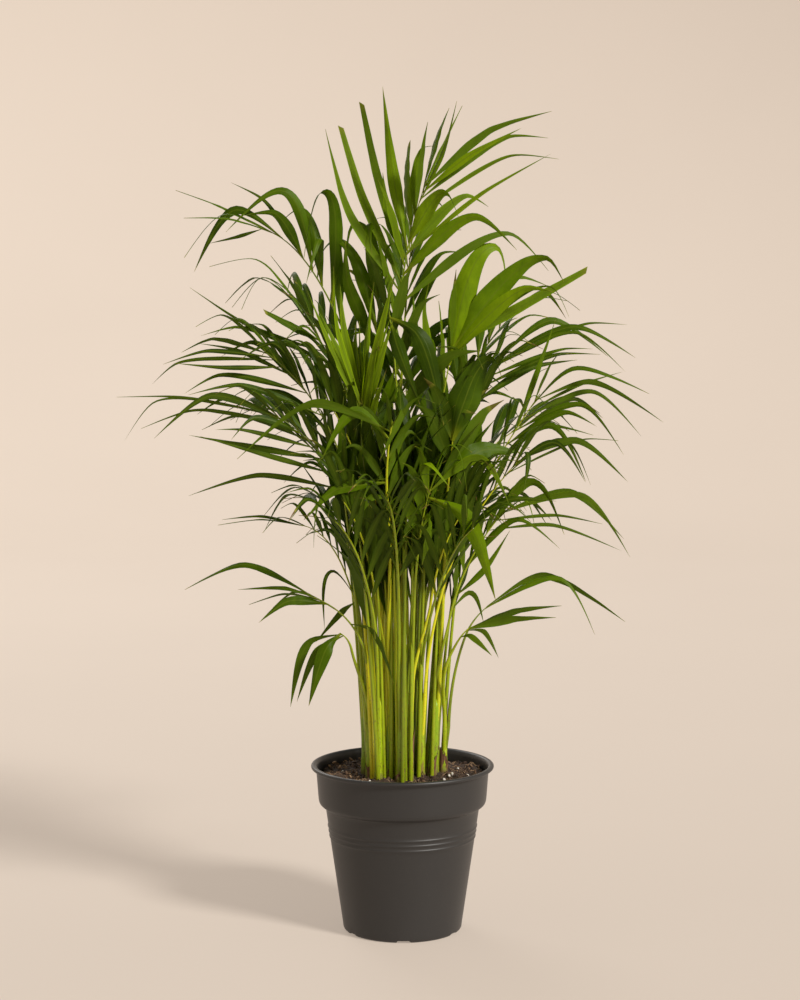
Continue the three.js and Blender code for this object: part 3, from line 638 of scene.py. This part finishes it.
frond("left_wiry", 8, [-42, 300, -8], [-64, 357, -10], [-94, 379, -12], 0.35, 0.6)
leaf(1, 6, 6, -130, 387, -166, 384)
leaf(0.96, -10, 5, -130, 384, -170, 379)
leaf(0.12, -16, 6, -66, 336, -72, 282)
leaf(0.05, 14, 10, -54, 300, -80, 270)
fill(3, 60, 10, 0.3)

frond("left_low", 1, [-35, 262, -30], [-52, 292, -34], [-82, 312, -38], 0.45, 0.66)
leaf(1, 10, 12, -146, 342, -201, 319)
leaf(0.96, -10, 7, -108, 320, -152, 319)
leaf(0.9, 18, 7, -108, 315, -142, 305)
leaf(0.8, -18, 13, -106, 308, -133, 288)
leaf(0.65, 26, 8, -98, 317, -120, 302)
leaf(0.4, -24, 12, -29, 281, -8, 231)

frond("left_droop", 1, [-47, 262, -34], [-51, 272, -36], [-57, 278, -38], 0.55, 0.75)
leaf(0.9, 14, 11, -86, 270, -104, 209)
leaf(0.8, -2, 10, -78, 262, -98, 214)
leaf(1, -18, 18, -69, 266, -87, 210)

frond("front_left", 3, [-13, 396, -58], [-14, 433, -65], [-11, 469, -70], 0.5, 0.72)
leaf(0.85, -14, 16, -43, 483, -74, 440)
leaf(1, -26, 11, 0, 484, -21, 439)
leaf(0.3, -8, 14, -62, 411, -90, 384)
leaf(0.1, -24, 13, -29, 404, -47, 372)
leaf(0.95, -38, 12, -82, 491, -152, 440)
leaf(0.35, 10, 5, -74, 405, -82, 358)
leaf(0.2, -36, 11, -2, 378, 19, 334)
fill(4, 90, 14, 0.35)

frond("front_right", 5, [14, 350, -58], [19, 383, -64], [26, 413, -70], 0.66)
leaf(0.53, -16, 17, 25, 387, 18, 342)
leaf(0.85, -22, 19, 56, 389, 86, 309)
leaf(1, -4, 8, 45, 453, 59, 410)
leaf(0.95, 14, 12, 71, 440, 99, 396)
leaf(0.9, -30, 12, 22, 436, 44, 413)
fill(4, 90, 14, 0.35)

frond("right_mid", 7, [43, 290, -16], [62, 345, -20], [94, 392, -24], 0.6, 0.6)
leaf(1, 12, 12, 155, 409, 204, 366)
leaf(0.98, -6, 10, 166, 406, 210, 349)
leaf(0.8, -14, 16, 120, 419, 149, 370)
leaf(0.45, -24, 12, 106, 384, 145, 357)
leaf(0.9, 22, 6, 142, 388, 184, 380)
leaf(0.8, 10, 6, 138, 379, 202, 355)
leaf(0.9, -28, 6, 113, 402, 122, 377)
leaf(0.2, -14, 10, 76, 338, 99, 374)
leaf(0.08, 10, 9, 63, 316, 75, 288)
fill(4, 90, 12, 0.3)

frond("right_arch", 13, [50, 430, 26], [63, 486, 30], [88, 532, 34], 0.46, 0.6)
leaf(1, 14, 12, 136, 567, 188, 534)
leaf(0.95, -16, 13, 158, 561, 213, 533)
leaf(0.9, 28, 7, 168, 564, 205, 563)
leaf(0.9, -32, 7, 158, 556, 204, 520)
leaf(0.8, 10, 7, 148, 541, 174, 541)
leaf(0.7, -14, 8, 142, 536, 181, 536)
leaf(0.55, 24, 12, 118, 524, 160, 531)
fill(3, 90, 13, 0.25)

frond("right_spray", 14, [45, 345, 12], [78, 422, 10], [126, 500, 8], 0.52, 0.56)
leaf(0.96, 12, 10, 172, 511, 239, 474)
leaf(0.92, -14, 11, 156, 523, 226, 500)
leaf(0.84, 20, 9, 174, 502, 219, 461)
leaf(0.78, -22, 10, 164, 490, 203, 444)
leaf(0.9, 30, 6, 162, 508, 201, 520)
leaf(0.7, -32, 13, 150, 483, 178, 470)
leaf(0.6, -24, 13, 136, 471, 169, 418)
leaf(0.8, 2, 10, 124, 522, 140, 568)
leaf(0.5, 24, 12, 128, 470, 175, 462)
fill(4, 100, 13, 0.3)

frond("right_dark", 6, [39, 325, -26], [64, 382, -32], [106, 438, -38], 0.36, 0.56)
leaf(1, 12, 12, 160, 457, 207, 419)
leaf(0.94, -12, 11, 140, 455, 168, 419)
leaf(0.88, 22, 8, 148, 458, 173, 416)
leaf(0.9, 32, 6, 166, 458, 198, 457)
leaf(0.95, -24, 9, 114, 446, 111, 408)
leaf(0.4, -20, 13, 96, 402, 142, 401)
fill(4, 100, 14, 0.3)

frond("right_low", 17, [44, 258, -24], [52, 272, -26], [62, 283, -28], 0.6, 0.7)
leaf(1, 10, 12, 106, 299, 147, 304)
leaf(0.95, -10, 12, 100, 291, 142, 293)
leaf(0.6, -20, 8, 62, 276, 83, 257)
leaf(0.9, 26, 7, 75, 280, 89, 255)

frond("right_low_arch", 17, [58, 275, 5], [66, 290, 6], [78, 303, 7], 0.66, 0.7)
leaf(1, 8, 11, 128, 332, 206, 289)
leaf(0.9, -12, 9, 146, 329, 178, 277)

frond("fore_left", 2, [-27, 296, -54], [-42, 350, -84], [-62, 382, -128], 0.24, 0.62)
fill(5, 118, 14, 0.3, 0.8)

frond("fore_centre", 4, [-4, 316, -62], [-8, 374, -98], [-14, 402, -146], 0.26, 0.62)
fill(5, 108, 14, 0.3, 0.8)

frond("fore_right", 6, [26, 296, -50], [43, 346, -82], [66, 376, -126], 0.34, 0.62)
fill(5, 118, 14, 0.3, 0.8)

frond("inner_left", 9, [-28, 380, -12], [-44, 444, -20], [-68, 492, -30], 0.22)
fill(8, 140, 15, 0.3, 0.55)

frond("inner_right", 13, [30, 380, -4], [46, 442, -10], [70, 490, -18], 0.26)
fill(8, 140, 15, 0.3, 0.55)

frond("inner_low_left", 3, [-24, 310, -40], [-36, 362, -50], [-54, 400, -62], 0.24)
fill(8, 124, 14, 0.3, 0.55)

frond("inner_low_right", 5, [26, 308, -36], [38, 356, -46], [58, 394, -58], 0.28)
fill(8, 124, 14, 0.3, 0.55)

frond("back_left_high", 15, [-26, 420, 52], [-56, 520, 98], [-92, 578, 154], 0.36)
fill(9, 126, 14, 0.35)

frond("back_high", 12, [-2, 470, 34], [2, 570, 62], [8, 640, 112], 0.45)
fill(9, 118, 14, 0.3)

frond("back_right_high", 16, [24, 420, 52], [56, 510, 98], [96, 566, 152], 0.42)
fill(9, 126, 14, 0.35)

frond("back_centre", 15, [1, 401, 57], [4, 481, 112], [3, 520, 182], 0.34)
fill(10, 116, 14, 0.4)

frond("back_left", 15, [-30, 350, 50], [-66, 430, 88], [-120, 474, 130], 0.28)
fill(9, 116, 13, 0.35)

frond("back_right", 16, [30, 350, 48], [64, 430, 84], [118, 474, 124], 0.33)
fill(9, 116, 13, 0.35)

frond("back_low_left", 10, [-22, 318, 58], [-46, 376, 104], [-80, 398, 156], 0.26)
fill(7, 104, 12, 0.35)

frond("back_low_right", 16, [24, 316, 60], [46, 374, 106], [82, 396, 158], 0.3)
fill(7, 104, 12, 0.35)


# ---- leaflets
TOP = np.array([-1.0, -0.7, -0.36, 0.0, 0.36, 0.7, 1.0])
UNDER = np.array([0.68, 0.3, 0.0, -0.3, -0.68])
SECTION = np.concatenate([TOP, UNDER])
IS_UNDER = np.concatenate([np.zeros(len(TOP)), np.ones(len(UNDER))])


def leaflet_path(base, bend, tip, shares):
    """Smooth curve from base over bend to tip, at these shares of its length."""
    first = bend - base
    second = tip - bend
    one = np.linalg.norm(first)
    two = np.linalg.norm(second)
    turn = unit(unit(first) + unit(second)) * BEND_EASE
    split = one / (one + two)
    rising = (shares <= split)[:, None]
    t = np.where(rising[:, 0], shares / split, (shares - split) / (1 - split))[:, None]
    chord = np.where(rising, first, second)
    at_bend = turn * np.where(rising, one, two)
    at_end = 1.5 * chord - 0.5 * at_bend
    point = np.where(rising, base, bend) * (2 * t**3 - 3 * t**2 + 1)
    point = point + np.where(rising, at_end, at_bend) * (t**3 - 2 * t**2 + t)
    point = point + np.where(rising, bend, tip) * (3 * t**2 - 2 * t**3)
    return point + np.where(rising, at_bend, at_end) * (t**3 - t**2)


def blade_widths(shares, foot, cut, folded, hanging):
    """Width along a leaflet as a share of its greatest: narrow foot, long taper, or a blunt end.
    One that folds over late is narrow from the fold on; one that hangs is widest below its fold."""
    widest = mix(0.36, 0.30, folded) + 0.2 * hanging
    rise = foot + (1 - foot) * smooth(shares / widest) ** 0.8
    taper = np.clip((shares - widest) / (1 - widest), 0, 1) * (0.62 if cut else 1.0)
    fall = np.maximum(1 - taper ** mix(1.5, 0.95, folded), 0.0) ** 1.05
    return np.where(shares < widest, rise, fall) + 0.012


def add_leaflet(piece, leaflet, source, surface=0):
    """A thin closed blade with a crease, a midrib, a little twist and wavy edges."""
    base, bend, tip = leaflet["base"], leaflet["bend"], leaflet["tip"]
    reach = np.linalg.norm(bend - base) + np.linalg.norm(tip - bend)
    stations = 24 if reach > 130 else 18 if reach > 70 else 14
    shares = np.linspace(0, 1, stations)
    path = leaflet_path(base, bend, tip, shares)
    tangents, across, up = frames_along(path, leaflet["rib"])
    if np.sum(up @ leaflet["above"]) < 0:
        across, up = -across, -up
    twist = source.uniform(-0.5, 0.5) * smooth(shares * 1.2)
    twist = twist + 0.10 * np.sin(shares * source.uniform(7, 12) + source.uniform(0, 6)) * shares
    cosine, sine = np.cos(twist)[:, None], np.sin(twist)[:, None]
    across, up = across * cosine + up * sine, up * cosine - across * sine
    wave = math.tau * source.uniform(1.2, 2.6)
    phases = (source.uniform(0, 6), source.uniform(0, 6))
    fold = unit(bend - base) @ unit(tip - bend)
    late = np.linalg.norm(bend - base) / reach
    hanging = smooth((0.95 - fold) / 0.6) * smooth((0.62 - late) / 0.3)
    folded = smooth((0.95 - fold) / 0.9) * (1 - hanging)
    widths = blade_widths(shares, leaflet["foot"], leaflet["cut"], folded, hanging)
    half = 0.5 * leaflet["width"] * widths
    crease = half * mix(0.62, 0.14, smooth(shares / 0.5)) * source.uniform(0.8, 1.25)
    side = np.abs(SECTION)
    thick = 1 - side**4
    rings = []
    for i in range(stations):
        ripple = [0.085 * half[i] * math.sin(wave * shares[i] * 2 + phase) for phase in phases]
        lift = crease[i] * (1 - side**1.15) + np.where(SECTION < 0, *ripple) * side**2
        rib = 0.55 * mix(1.0, 0.25, shares[i]) * np.exp(-((SECTION * half[i] / 0.9) ** 2))
        lift = lift - IS_UNDER * (0.22 * thick + rib) + (1 - IS_UNDER) * 0.12 * thick
        centre = path[i]
        if leaflet["cut"] and i == stations - 1:
            centre = centre - tangents[i] * (SECTION * 0.88 * half[i])[:, None]
        rings.append(centre + across[i] * (SECTION * half[i])[:, None] + up[i] * lift[:, None])
    piece.tube(
        np.array(rings),
        surface,
        across=np.tile(SECTION, stations),
        across_mm=(SECTION[None, :] * half[:, None]).ravel(),
        along=np.repeat(shares, len(SECTION)),
        tone=leaflet["tone"] + source.uniform(-0.12, 0.12),
        age=leaflet["dry"],
        under=np.tile(IS_UNDER, stations),
    )


# ---- fronds
def stalk_of(one, seat):
    """Petiole and leafy midrib of a frond: cubic and quadratic control points."""
    foot, top = one["cane"]["foot"], one["cane"]["top"]
    start = top + PETIOLE_RING * compass(seat * math.tau / 3 + one["number"])
    throat, middle, end = one["points"]
    control = 2 * middle - 0.5 * throat - 0.5 * end
    rise = np.linalg.norm(throat - start) / 3
    leaving = start + unit(top - foot) * rise
    arriving = throat - unit(control - throat) * rise
    level = unit(np.cross((end - start) * [1, 1, 0], UP))
    return [start, leaving, arriving, throat], [throat, control, end], level


def add_stalk(piece, one, petiole, rachis, level, source):
    """One closed tube from inside the cane up to the end of the leafy part, grooved above."""
    foot = one["cane"]["foot"]
    start = petiole[0]
    low = foot + (start - foot) * 0.22
    inside = low + (start - low) * np.linspace(0, 0.93, 8)[:, None]
    free = bezier(petiole, np.linspace(0, 0.97, 22))
    leafy = bezier(rachis, np.linspace(0, 1, 26))
    path = np.concatenate([inside, free, leafy])
    sizes = np.concatenate([
        np.linspace(1.4, 2.0, len(inside)),
        mix(2.0, 1.25, np.linspace(0, 1, len(free)) ** 0.6),
        mix(1.25, 0.45, np.linspace(0, 1, len(leafy))),
    ])
    sizes = sizes * source.uniform(0.92, 1.18)
    along = np.linspace(0, 1, len(path))
    wander = np.sin(along * source.uniform(5, 9) + source.uniform(0, 6)) * 0.7
    path = path + level * (wander * smooth(along * 3))[:, None]
    _, across, up = frames_along(path, level)
    groove = 1 - 0.34 * np.exp(-(((AROUND - math.pi * 1.5) / 0.55) ** 2))
    rings = round_rings(path, across, up, sizes, groove, 0.92)
    piece.tube(rings, surface=1, tone=source.uniform(0.15, 1.0), along=np.repeat(along, ROUND))


def seat_of(rachis, level, place):
    """Where a leaflet sits: its base, the stalk's tangent, and the ways across and up."""
    base = bezier(rachis, [place])[0]
    after, before = min(1, place + 0.01), place - 0.01
    tangent = unit(bezier(rachis, [after])[0] - bezier(rachis, [before])[0])
    across = unit(level - tangent * level.dot(tangent))
    return base, tangent, across, np.cross(across, tangent)


def drawn_leaflets(one, rachis, level):
    """Leaflets listed one by one for one stalk, as base, bend and tip."""
    made = []
    for drawn in one["leaflets"]:
        base, tangent, _, above = seat_of(rachis, level, drawn["place"])
        bend = sight_point(*drawn["bend"], base[1] + drawn["depth"] * 0.55)
        tip = sight_point(*drawn["tip"], base[1] + drawn["depth"])
        if drawn["width"] > BROAD_BLADE:
            above = unit(EYE - base)
            tangent = unit(np.cross(above, bend - base))
        width = drawn["width"] * one["slim"]
        made.append(dict(
            drawn, base=base, bend=bend, tip=tip, rib=tangent, above=above, width=width))
    return made


def ruled_leaflets(one, rachis, level, source):
    """Leaflets of the rule for one stalk, as base, bend and tip."""
    count, length, width, droop, spread = one["fill"]
    count = round(count * RULE_DENSITY / one["slim"])
    width *= one["slim"]
    made = []
    for i in range(count):
        place = 0.05 + 0.95 * (i + 0.5) / count
        side = 1 if i % 2 else -1
        base, tangent, across, above = seat_of(rachis, level, place)
        turn = (mix(0.82, 0.32, place) + source.uniform(-0.16, 0.16)) * spread
        rise = 0.35 + source.uniform(-0.22, 0.22)
        heading = tangent * math.cos(turn) + across * side * math.sin(turn) * 0.92
        heading = unit(heading + above * math.sin(turn) * rise)
        reach = length * (0.7 + 0.3 * math.sin(math.pi * (0.25 + 0.6 * place)))
        reach *= source.uniform(0.84, 1.1)
        bend = base + heading * reach * 0.58
        tip = base + heading * reach * 0.92 - UP * droop * reach * source.uniform(0.7, 1.35)
        wide = width * (1 - 0.25 * place) * source.uniform(0.72, 1.15)
        dry = source.uniform(0.03, 0.16) if source.random() < 0.3 else 0.0
        made.append(dict(
            base=base, bend=bend, tip=tip, rib=tangent, above=above, width=wide,
            cut=False, dry=dry))
    return made


def build_frond(one):
    source = random.Random(one["name"])
    petiole, rachis, level = stalk_of(one, one["cane"]["fronds"])
    one["cane"]["fronds"] += 1
    piece = Piece("palm_" + one["name"])
    add_stalk(piece, one, petiole, rachis, level, source)
    leaflets = drawn_leaflets(one, rachis, level)
    if one["fill"]:
        leaflets += ruled_leaflets(one, rachis, level, source)
    for leaflet in leaflets:
        add_leaflet(piece, dict(leaflet, tone=one["tone"], foot=one["foot"]), source)
    piece.finish(one["name"], [LEAF, STALK])


# ---- canes
def build_cane(number, one):
    """A cane of wrapped sheaths: each ends in a slanting edge, where the cane gets thinner."""
    source = random.Random(number)
    foot, top, radius = one["foot"], one["top"], one["radius"] * CANE_SLIM
    piece = Piece(f"palm_cane_{number:02d}")
    stations = 56
    low = foot - UP * ROOTED_DEPTH
    heights = np.linspace(0, 1, stations)
    line = low + (top + UP * 2 - low) * heights[:, None]
    risen = (line[:, 2] - foot[2]) / (top[2] - foot[2])
    line[:, :2] = foot[:2] + (top[:2] - foot[:2]) * np.clip(risen, 0, 1)[:, None]
    edges = [
        (mix(foot[2], top[2], share + source.uniform(-0.06, 0.06)), source.uniform(0, 6))
        for share in (0.3, 0.62)
    ]
    lean = source.uniform(0, 6)
    oval = 1 + 0.05 * np.cos(2 * (CANE_AROUND - lean)) + 0.02 * np.cos(5 * CANE_AROUND + lean)
    rings = []
    for point, share in zip(line, risen):
        z = point[2]
        size = radius * mix(1.04, 0.66, max(0, share) ** 1.3)
        size = size * (1 + 0.14 * math.exp(-(((z - foot[2]) / 6) ** 2)))
        around = size * mix(1.0, 0.3, smooth((share - 0.93) / 0.09))
        for height, side in edges:
            slant = height + 9 * np.cos(CANE_AROUND - side)
            around = around + 0.42 * smooth((slant - z) / 1.6)
        rings.append(point + level_ring(CANE_AROUND, around * oval, 0))
    tone = source.uniform(0.25, 0.95)
    piece.tube(np.array(rings), tone=tone, along=np.repeat(heights, len(CANE_AROUND)))
    if number in DRY_SHEATHS:
        add_sheath(piece, foot, radius, DRY_SHEATHS[number], source)
    for side in range(3):
        add_shoot(piece, foot, radius, side, source)
    piece.finish(f"cane_{number:02d}", [CANE, SHEATH, STALK, LEAF])


def add_shoot(piece, foot, radius, side, source):
    """A thin young stalk beside a cane, with a few upright blades at its end."""
    angle = source.uniform(0, 0.9) + side * math.tau / 3
    start = foot + compass(angle) * (radius + source.uniform(1.2, 3.2)) - UP * 10
    start[0] *= SHOOT_PULL
    tall = source.uniform(170, 285)
    spread = source.uniform(0.5, 1.0)
    outward = np.array([foot[0] * spread * 0.6, foot[1] * spread * 0.45, 0])
    outward += [source.uniform(-9, 9), source.uniform(-9, 9), 0]
    end = start + outward + UP * tall
    bow = start + outward * 0.3 + UP * tall * 0.55
    along = np.linspace(0, 1, 30)
    path = bezier([start, bow, end], along)
    _, across, up = frames_along(path, RIGHT)
    rings = round_rings(path, across, up, mix(source.uniform(1.5, 2.2), 0.9, along**1.2))
    piece.tube(rings, surface=2, tone=source.uniform(0.1, 1.0), along=np.repeat(along, ROUND))
    rising = unit(path[-1] - path[-4])
    for i in range(source.choice((2, 3, 3, 4))):
        sideways = compass(source.uniform(0, math.tau))
        reach = source.uniform(85, 140)
        base = path[-1 - 3 * i]
        bend = base + rising * reach * 0.62 + sideways * reach * source.uniform(0.08, 0.22)
        tip = bend + rising * reach * 0.22 + sideways * reach * source.uniform(0.1, 0.3)
        leaflet = dict(
            base=base, bend=bend, tip=tip, rib=np.cross(sideways, UP), above=-sideways,
            width=source.uniform(9, 16), tone=source.uniform(0.12, 0.42), foot=FOOT_SHARE,
            cut=False, dry=0.0)
        add_leaflet(piece, leaflet, source, surface=3)


# Heights in millimetres, by the number of the cane.
DRY_SHEATHS = {1: 15, 3: 18, 4: 13, 5: 46, 6: 17, 7: 30, 9: 20, 10: 14, 13: 22, 14: 26, 17: 24}


def add_sheath(piece, foot, radius, height, source):
    """A ragged papery collar round the foot of a cane, open at the top."""
    opening = source.uniform(0, 6)
    angles = turns(30)
    ragged = height * (0.62 + 0.38 * np.cos(angles - opening))
    ragged = ragged + np.array([source.uniform(-3, 3) for _ in angles])
    outside = [(0.0, 0.7), (0.35, 0.9), (0.7, 1.1), (1.0, 1.7)]
    inside = [(1.0, 1.35), (0.7, 0.7), (0.35, 0.5), (0.0, 0.3)]
    rings = []
    for share, gap in outside + inside:
        rise = np.maximum(ragged, 3) * share - 3
        flare = radius * 1.06 + gap + 0.3 * np.sin(angles * 4 + opening)
        rings.append(foot + level_ring(angles, flare, rise))
    piece.tube(np.array(rings), surface=1, ring_shaped=True)


# ---- pot
def arc(centre, radius, start, end, steps):
    angles = np.radians(np.linspace(start, end, steps))
    return [(centre[0] + radius * math.cos(a), centre[1] + radius * math.sin(a)) for a in angles]


def build_pot():
    """The pot's wall as (radius, height) from the middle of its base, over the lip and back down
    inside, with a slot every 60 degrees in its foot."""
    def body(z):
        return 55.4 + (71.6 - 55.4) * (z - 4) / (116 - 4)

    ridge_profile = ((-1.5, 0), (-1.0, 0.25), (-0.4, 0.62), (0.3, 0.66), (0.9, 0.3), (1.4, 0))
    outline = [(0, 0), (20, 0), (40, 0), (49.0, 0), (51.4, 0)]
    outline += arc((51.6, 3.8), 3.8, -88, -8, 8)
    outline += [(body(z), z) for z in (7, 14, 24, 36, 48, 60, 70, 78, 84)]
    for ridge in (88.6, 93.4, 98.2):
        outline += [(body(ridge + z) + height, ridge + z) for z, height in ridge_profile]
    outline += [(body(z), z) for z in (102, 108, 113)]
    outline += [(72.0, 115.4), (72.7, 116.6), (74.0, 117.6), (75.7, 118.5), (77.0, 119.8)]
    outline += [(77.7, 121.4), (78.1, 123.4), (78.5, 128), (79.1, 136), (79.7, 144), (80.1, 149)]
    outline += [(80.5, 151.2), (81.3, 152.2)]
    outline += arc((83.2, 154.0), 1.8, -110, 90, 10)
    outline += [(82.2, 155.85), (80.9, 155.5), (79.9, 154.6), (79.2, 153.2), (78.8, 150.8)]
    outline += [(78.2, 144), (77.0, 128), (76.4, 122.5), (75.4, 120.6), (71.2, 117.5), (70.3, 115)]
    outline += [(body(z) - 1.6, z) for z in (100, 70, 36, 12)]
    outline += [(52.5, 3.2), (50.5, 2.0), (30, 2.0), (0, 2.0)]
    angles = turns(240)
    sixth = math.tau / 6
    from_slot = np.abs((angles + math.pi / 2 - 0.02 + sixth / 2) % sixth - sixth / 2) * 53
    rings = []
    for r, z in outline:
        height = z
        if 44 < r < 56.5 and z < 3:
            height = np.maximum(z, 2.3 * smooth((6.4 - from_slot) / 1.2) * (r > 46))
            height = np.where(z >= 1.99, z + 0.6 * (from_slot < 6.4), height)
        rings.append(level_ring(angles, max(r, 0.02), height))
    piece = Piece("nursery_pot")
    piece.tube(np.array(rings))
    piece.finish("pot", [POT], sharp=38)


# ---- potting mix
def lumps(x, y):
    """Uneven ground: a sum of waves in many directions, in millimetres."""
    source = random.Random("ground")
    height = np.zeros_like(x)
    for size, depth in ((46, 1.3), (24, 1.0), (13, 0.8), (7, 0.55), (4.2, 0.4)):
        for _ in range(5):
            angle = source.uniform(0, math.tau)
            phase = source.uniform(0, math.tau)
            along = (x * math.cos(angle) + y * math.sin(angle)) / size * math.tau
            bent = along + phase + 0.8 * np.sin(along * 0.37 + phase * 3)
            height = height + depth * 0.42 * np.sin(bent)
    return height


def rim_edge(r):
    """0 over most of the mix and 1 at the pot's wall, where its surface is lower."""
    return smooth((r - 60) / 16)


def ground(x, y):
    """The level that a chip or a fibre at (x, y) lies on."""
    edge = float(rim_edge(math.hypot(x, y)))
    return SOIL_LEVEL - 1.0 - 1.6 * edge + float(lumps(np.array([x]), np.array([y]))[0])


PERLITE_PLACES = (
    (43, -22), (46, -8), (38, -38), (-30, -48), (52, 18),
    (-56, 8), (20, 58), (-12, 62), (60, -16), (-48, -34),
)


def build_soil():
    """The mix as a lumpy solid, with bark chips, perlite and fibres on it."""
    angles = turns(230)
    rings = []
    for r in np.linspace(0.05, 77.0, 74):
        edge = rim_edge(r)
        bumps = lumps(np.cos(angles) * r, np.sin(angles) * r) * (1 - 0.3 * edge)
        rings.append(level_ring(angles, r, SOIL_LEVEL - 1.0 - 1.6 * edge + bumps))
    for r, z in ((76.8, 143.0), (75.0, 128.0), (68.5, 116.0), (52.5, 8.0), (0.05, 4.0)):
        rings.append(level_ring(angles, r, z))
    piece = Piece("potting_mix")
    piece.tube(np.array(rings)[::-1])
    source = random.Random("chips")
    for _ in range(900):
        r = 76 * math.sqrt(source.random())
        angle = source.uniform(0, math.tau)
        x, y = r * math.cos(angle), r * math.sin(angle)
        big = source.random() ** 3
        size = [mix(0.6, 3.4, big), mix(0.45, 1.9, big), mix(0.35, 1.1, big)]
        tan = x < -35 and source.random() < 0.45
        tone = source.uniform(0.6, 1.0) if tan else source.uniform(0.0, 0.62)
        piece.lump(np.array([x, y, ground(x, y) + 0.3]), size, source, 1, tone=tone)
    for x, y in PERLITE_PLACES:
        size = [source.uniform(0.9, 1.7) for _ in range(3)]
        piece.lump(np.array([x, y, ground(x, y) + 0.8]), size, source, 2)
    for _ in range(260):
        add_fibre(piece, source)
    piece.finish("soil", [PEAT, BARK, PERLITE], sharp=60)


def add_fibre(piece, source):
    """A fine root or strand of coir lying on the mix."""
    r = 74 * math.sqrt(source.random())
    angle = source.uniform(0, math.tau)
    heading = source.uniform(0, math.tau)
    point = np.array([r * math.cos(angle), r * math.sin(angle)])
    points = []
    for _ in range(7):
        if math.hypot(*point) > 76:
            break
        points.append([point[0], point[1], ground(*point) + source.uniform(0.2, 1.3)])
        heading += source.gauss(0, 0.4)
        point = point + np.array([math.cos(heading), math.sin(heading)]) * source.uniform(1.2, 2.6)
    if len(points) < 3:
        return
    points = np.array(points)
    _, across, up = frames_along(points, UP)
    rings = round_rings(points, across, up, source.uniform(0.12, 0.3), angles=turns(5))
    piece.tube(rings, 1, tone=source.uniform(0.35, 1.0))


# ---- building
build_pot()
build_soil()
for number, one in enumerate(canes, 1):
    build_cane(number, one)
for one in fronds:
    build_frond(one)


# ---- studio
def floor_material():
    """Plain warm pale paper, with an even light of its own so that shadows on it stay light."""
    paper = Surface("studio_floor")
    warm = [(0.3, (0.300, 0.264, 0.231)), (0.7, (0.311, 0.274, 0.240))]
    paper.color = paper.ramp(paper.noise(1.3, 3.0), warm)
    return paper.done(Roughness=0.9, Emission_Color=(1.0, 0.83, 0.685, 1), Emission_Strength=0.35)


def build_floor():
    """A floor that curves up into a round wall, all round the object, in metres."""
    outline = [(0.02, 0.0), (1.0, 0.0), (2.0, 0.0), (3.0, 0.0)]
    curve = np.radians(np.linspace(6, 90, 15))
    outline += [(3.0 + 1.5 * math.sin(a), 1.5 - 1.5 * math.cos(a)) for a in curve]
    outline += [(4.5, 2.6)]
    around = 96
    angles = turns(around)
    points = np.concatenate([level_ring(angles, r, z) for r, z in outline])
    faces = faces_between(len(outline) - 1, around).tolist()
    faces.append(list(range(around))[::-1])
    mesh = bpy.data.meshes.new("studio_floor")
    mesh.from_pydata(points.tolist(), [], faces)
    mesh.polygons.foreach_set("use_smooth", [True] * len(faces))
    mesh.materials.append(floor_material())
    floor = add_object("studio_floor", mesh)
    floor.visible_shadow = False


def add_light(name, kind, heading, power, color, **settings):
    """A light that shines along heading, with the settings of its kind."""
    light = bpy.data.lights.new(name, kind)
    light.energy = power
    light.color = color
    for setting, value in settings.items():
        setattr(light, setting, value)
    lamp = add_object(name, light)
    x, y, z = heading
    lamp.rotation_euler = (math.atan2(math.hypot(x, y), -z), 0, math.atan2(-x, y))
    return lamp


build_floor()
# The key light is a sun, so that it lights floor and wall alike; its angle softens the shadows.
add_light("key", "SUN", (-0.66, 0.62, -0.60), 3.7, (1.0, 0.965, 0.91), angle=math.radians(12))
back = add_light("back", "AREA", (1.2, -2.6, -1.8), 26.0, (1.0, 0.97, 0.93), shape="DISK", size=1.8)
back.location = (-1.2, 2.6, 2.2)
back.visible_camera = False

world = bpy.data.worlds.new("studio")
world.use_nodes = True
sky = world.node_tree.nodes["Background"].inputs
sky["Color"].default_value = (1.0, 0.975, 0.94, 1)
sky["Strength"].default_value = 0.30
bpy.context.scene.world = world
bpy.context.scene.view_settings.view_transform = "Standard"

camera = add_object("camera", bpy.data.cameras.new("camera"))
camera.location = (-0.0023, -2.2, 0.6237)
camera.rotation_euler = (math.radians(84.25), 0.0, 0.0)
camera.data.lens = 86.5
bpy.context.scene.camera = camera
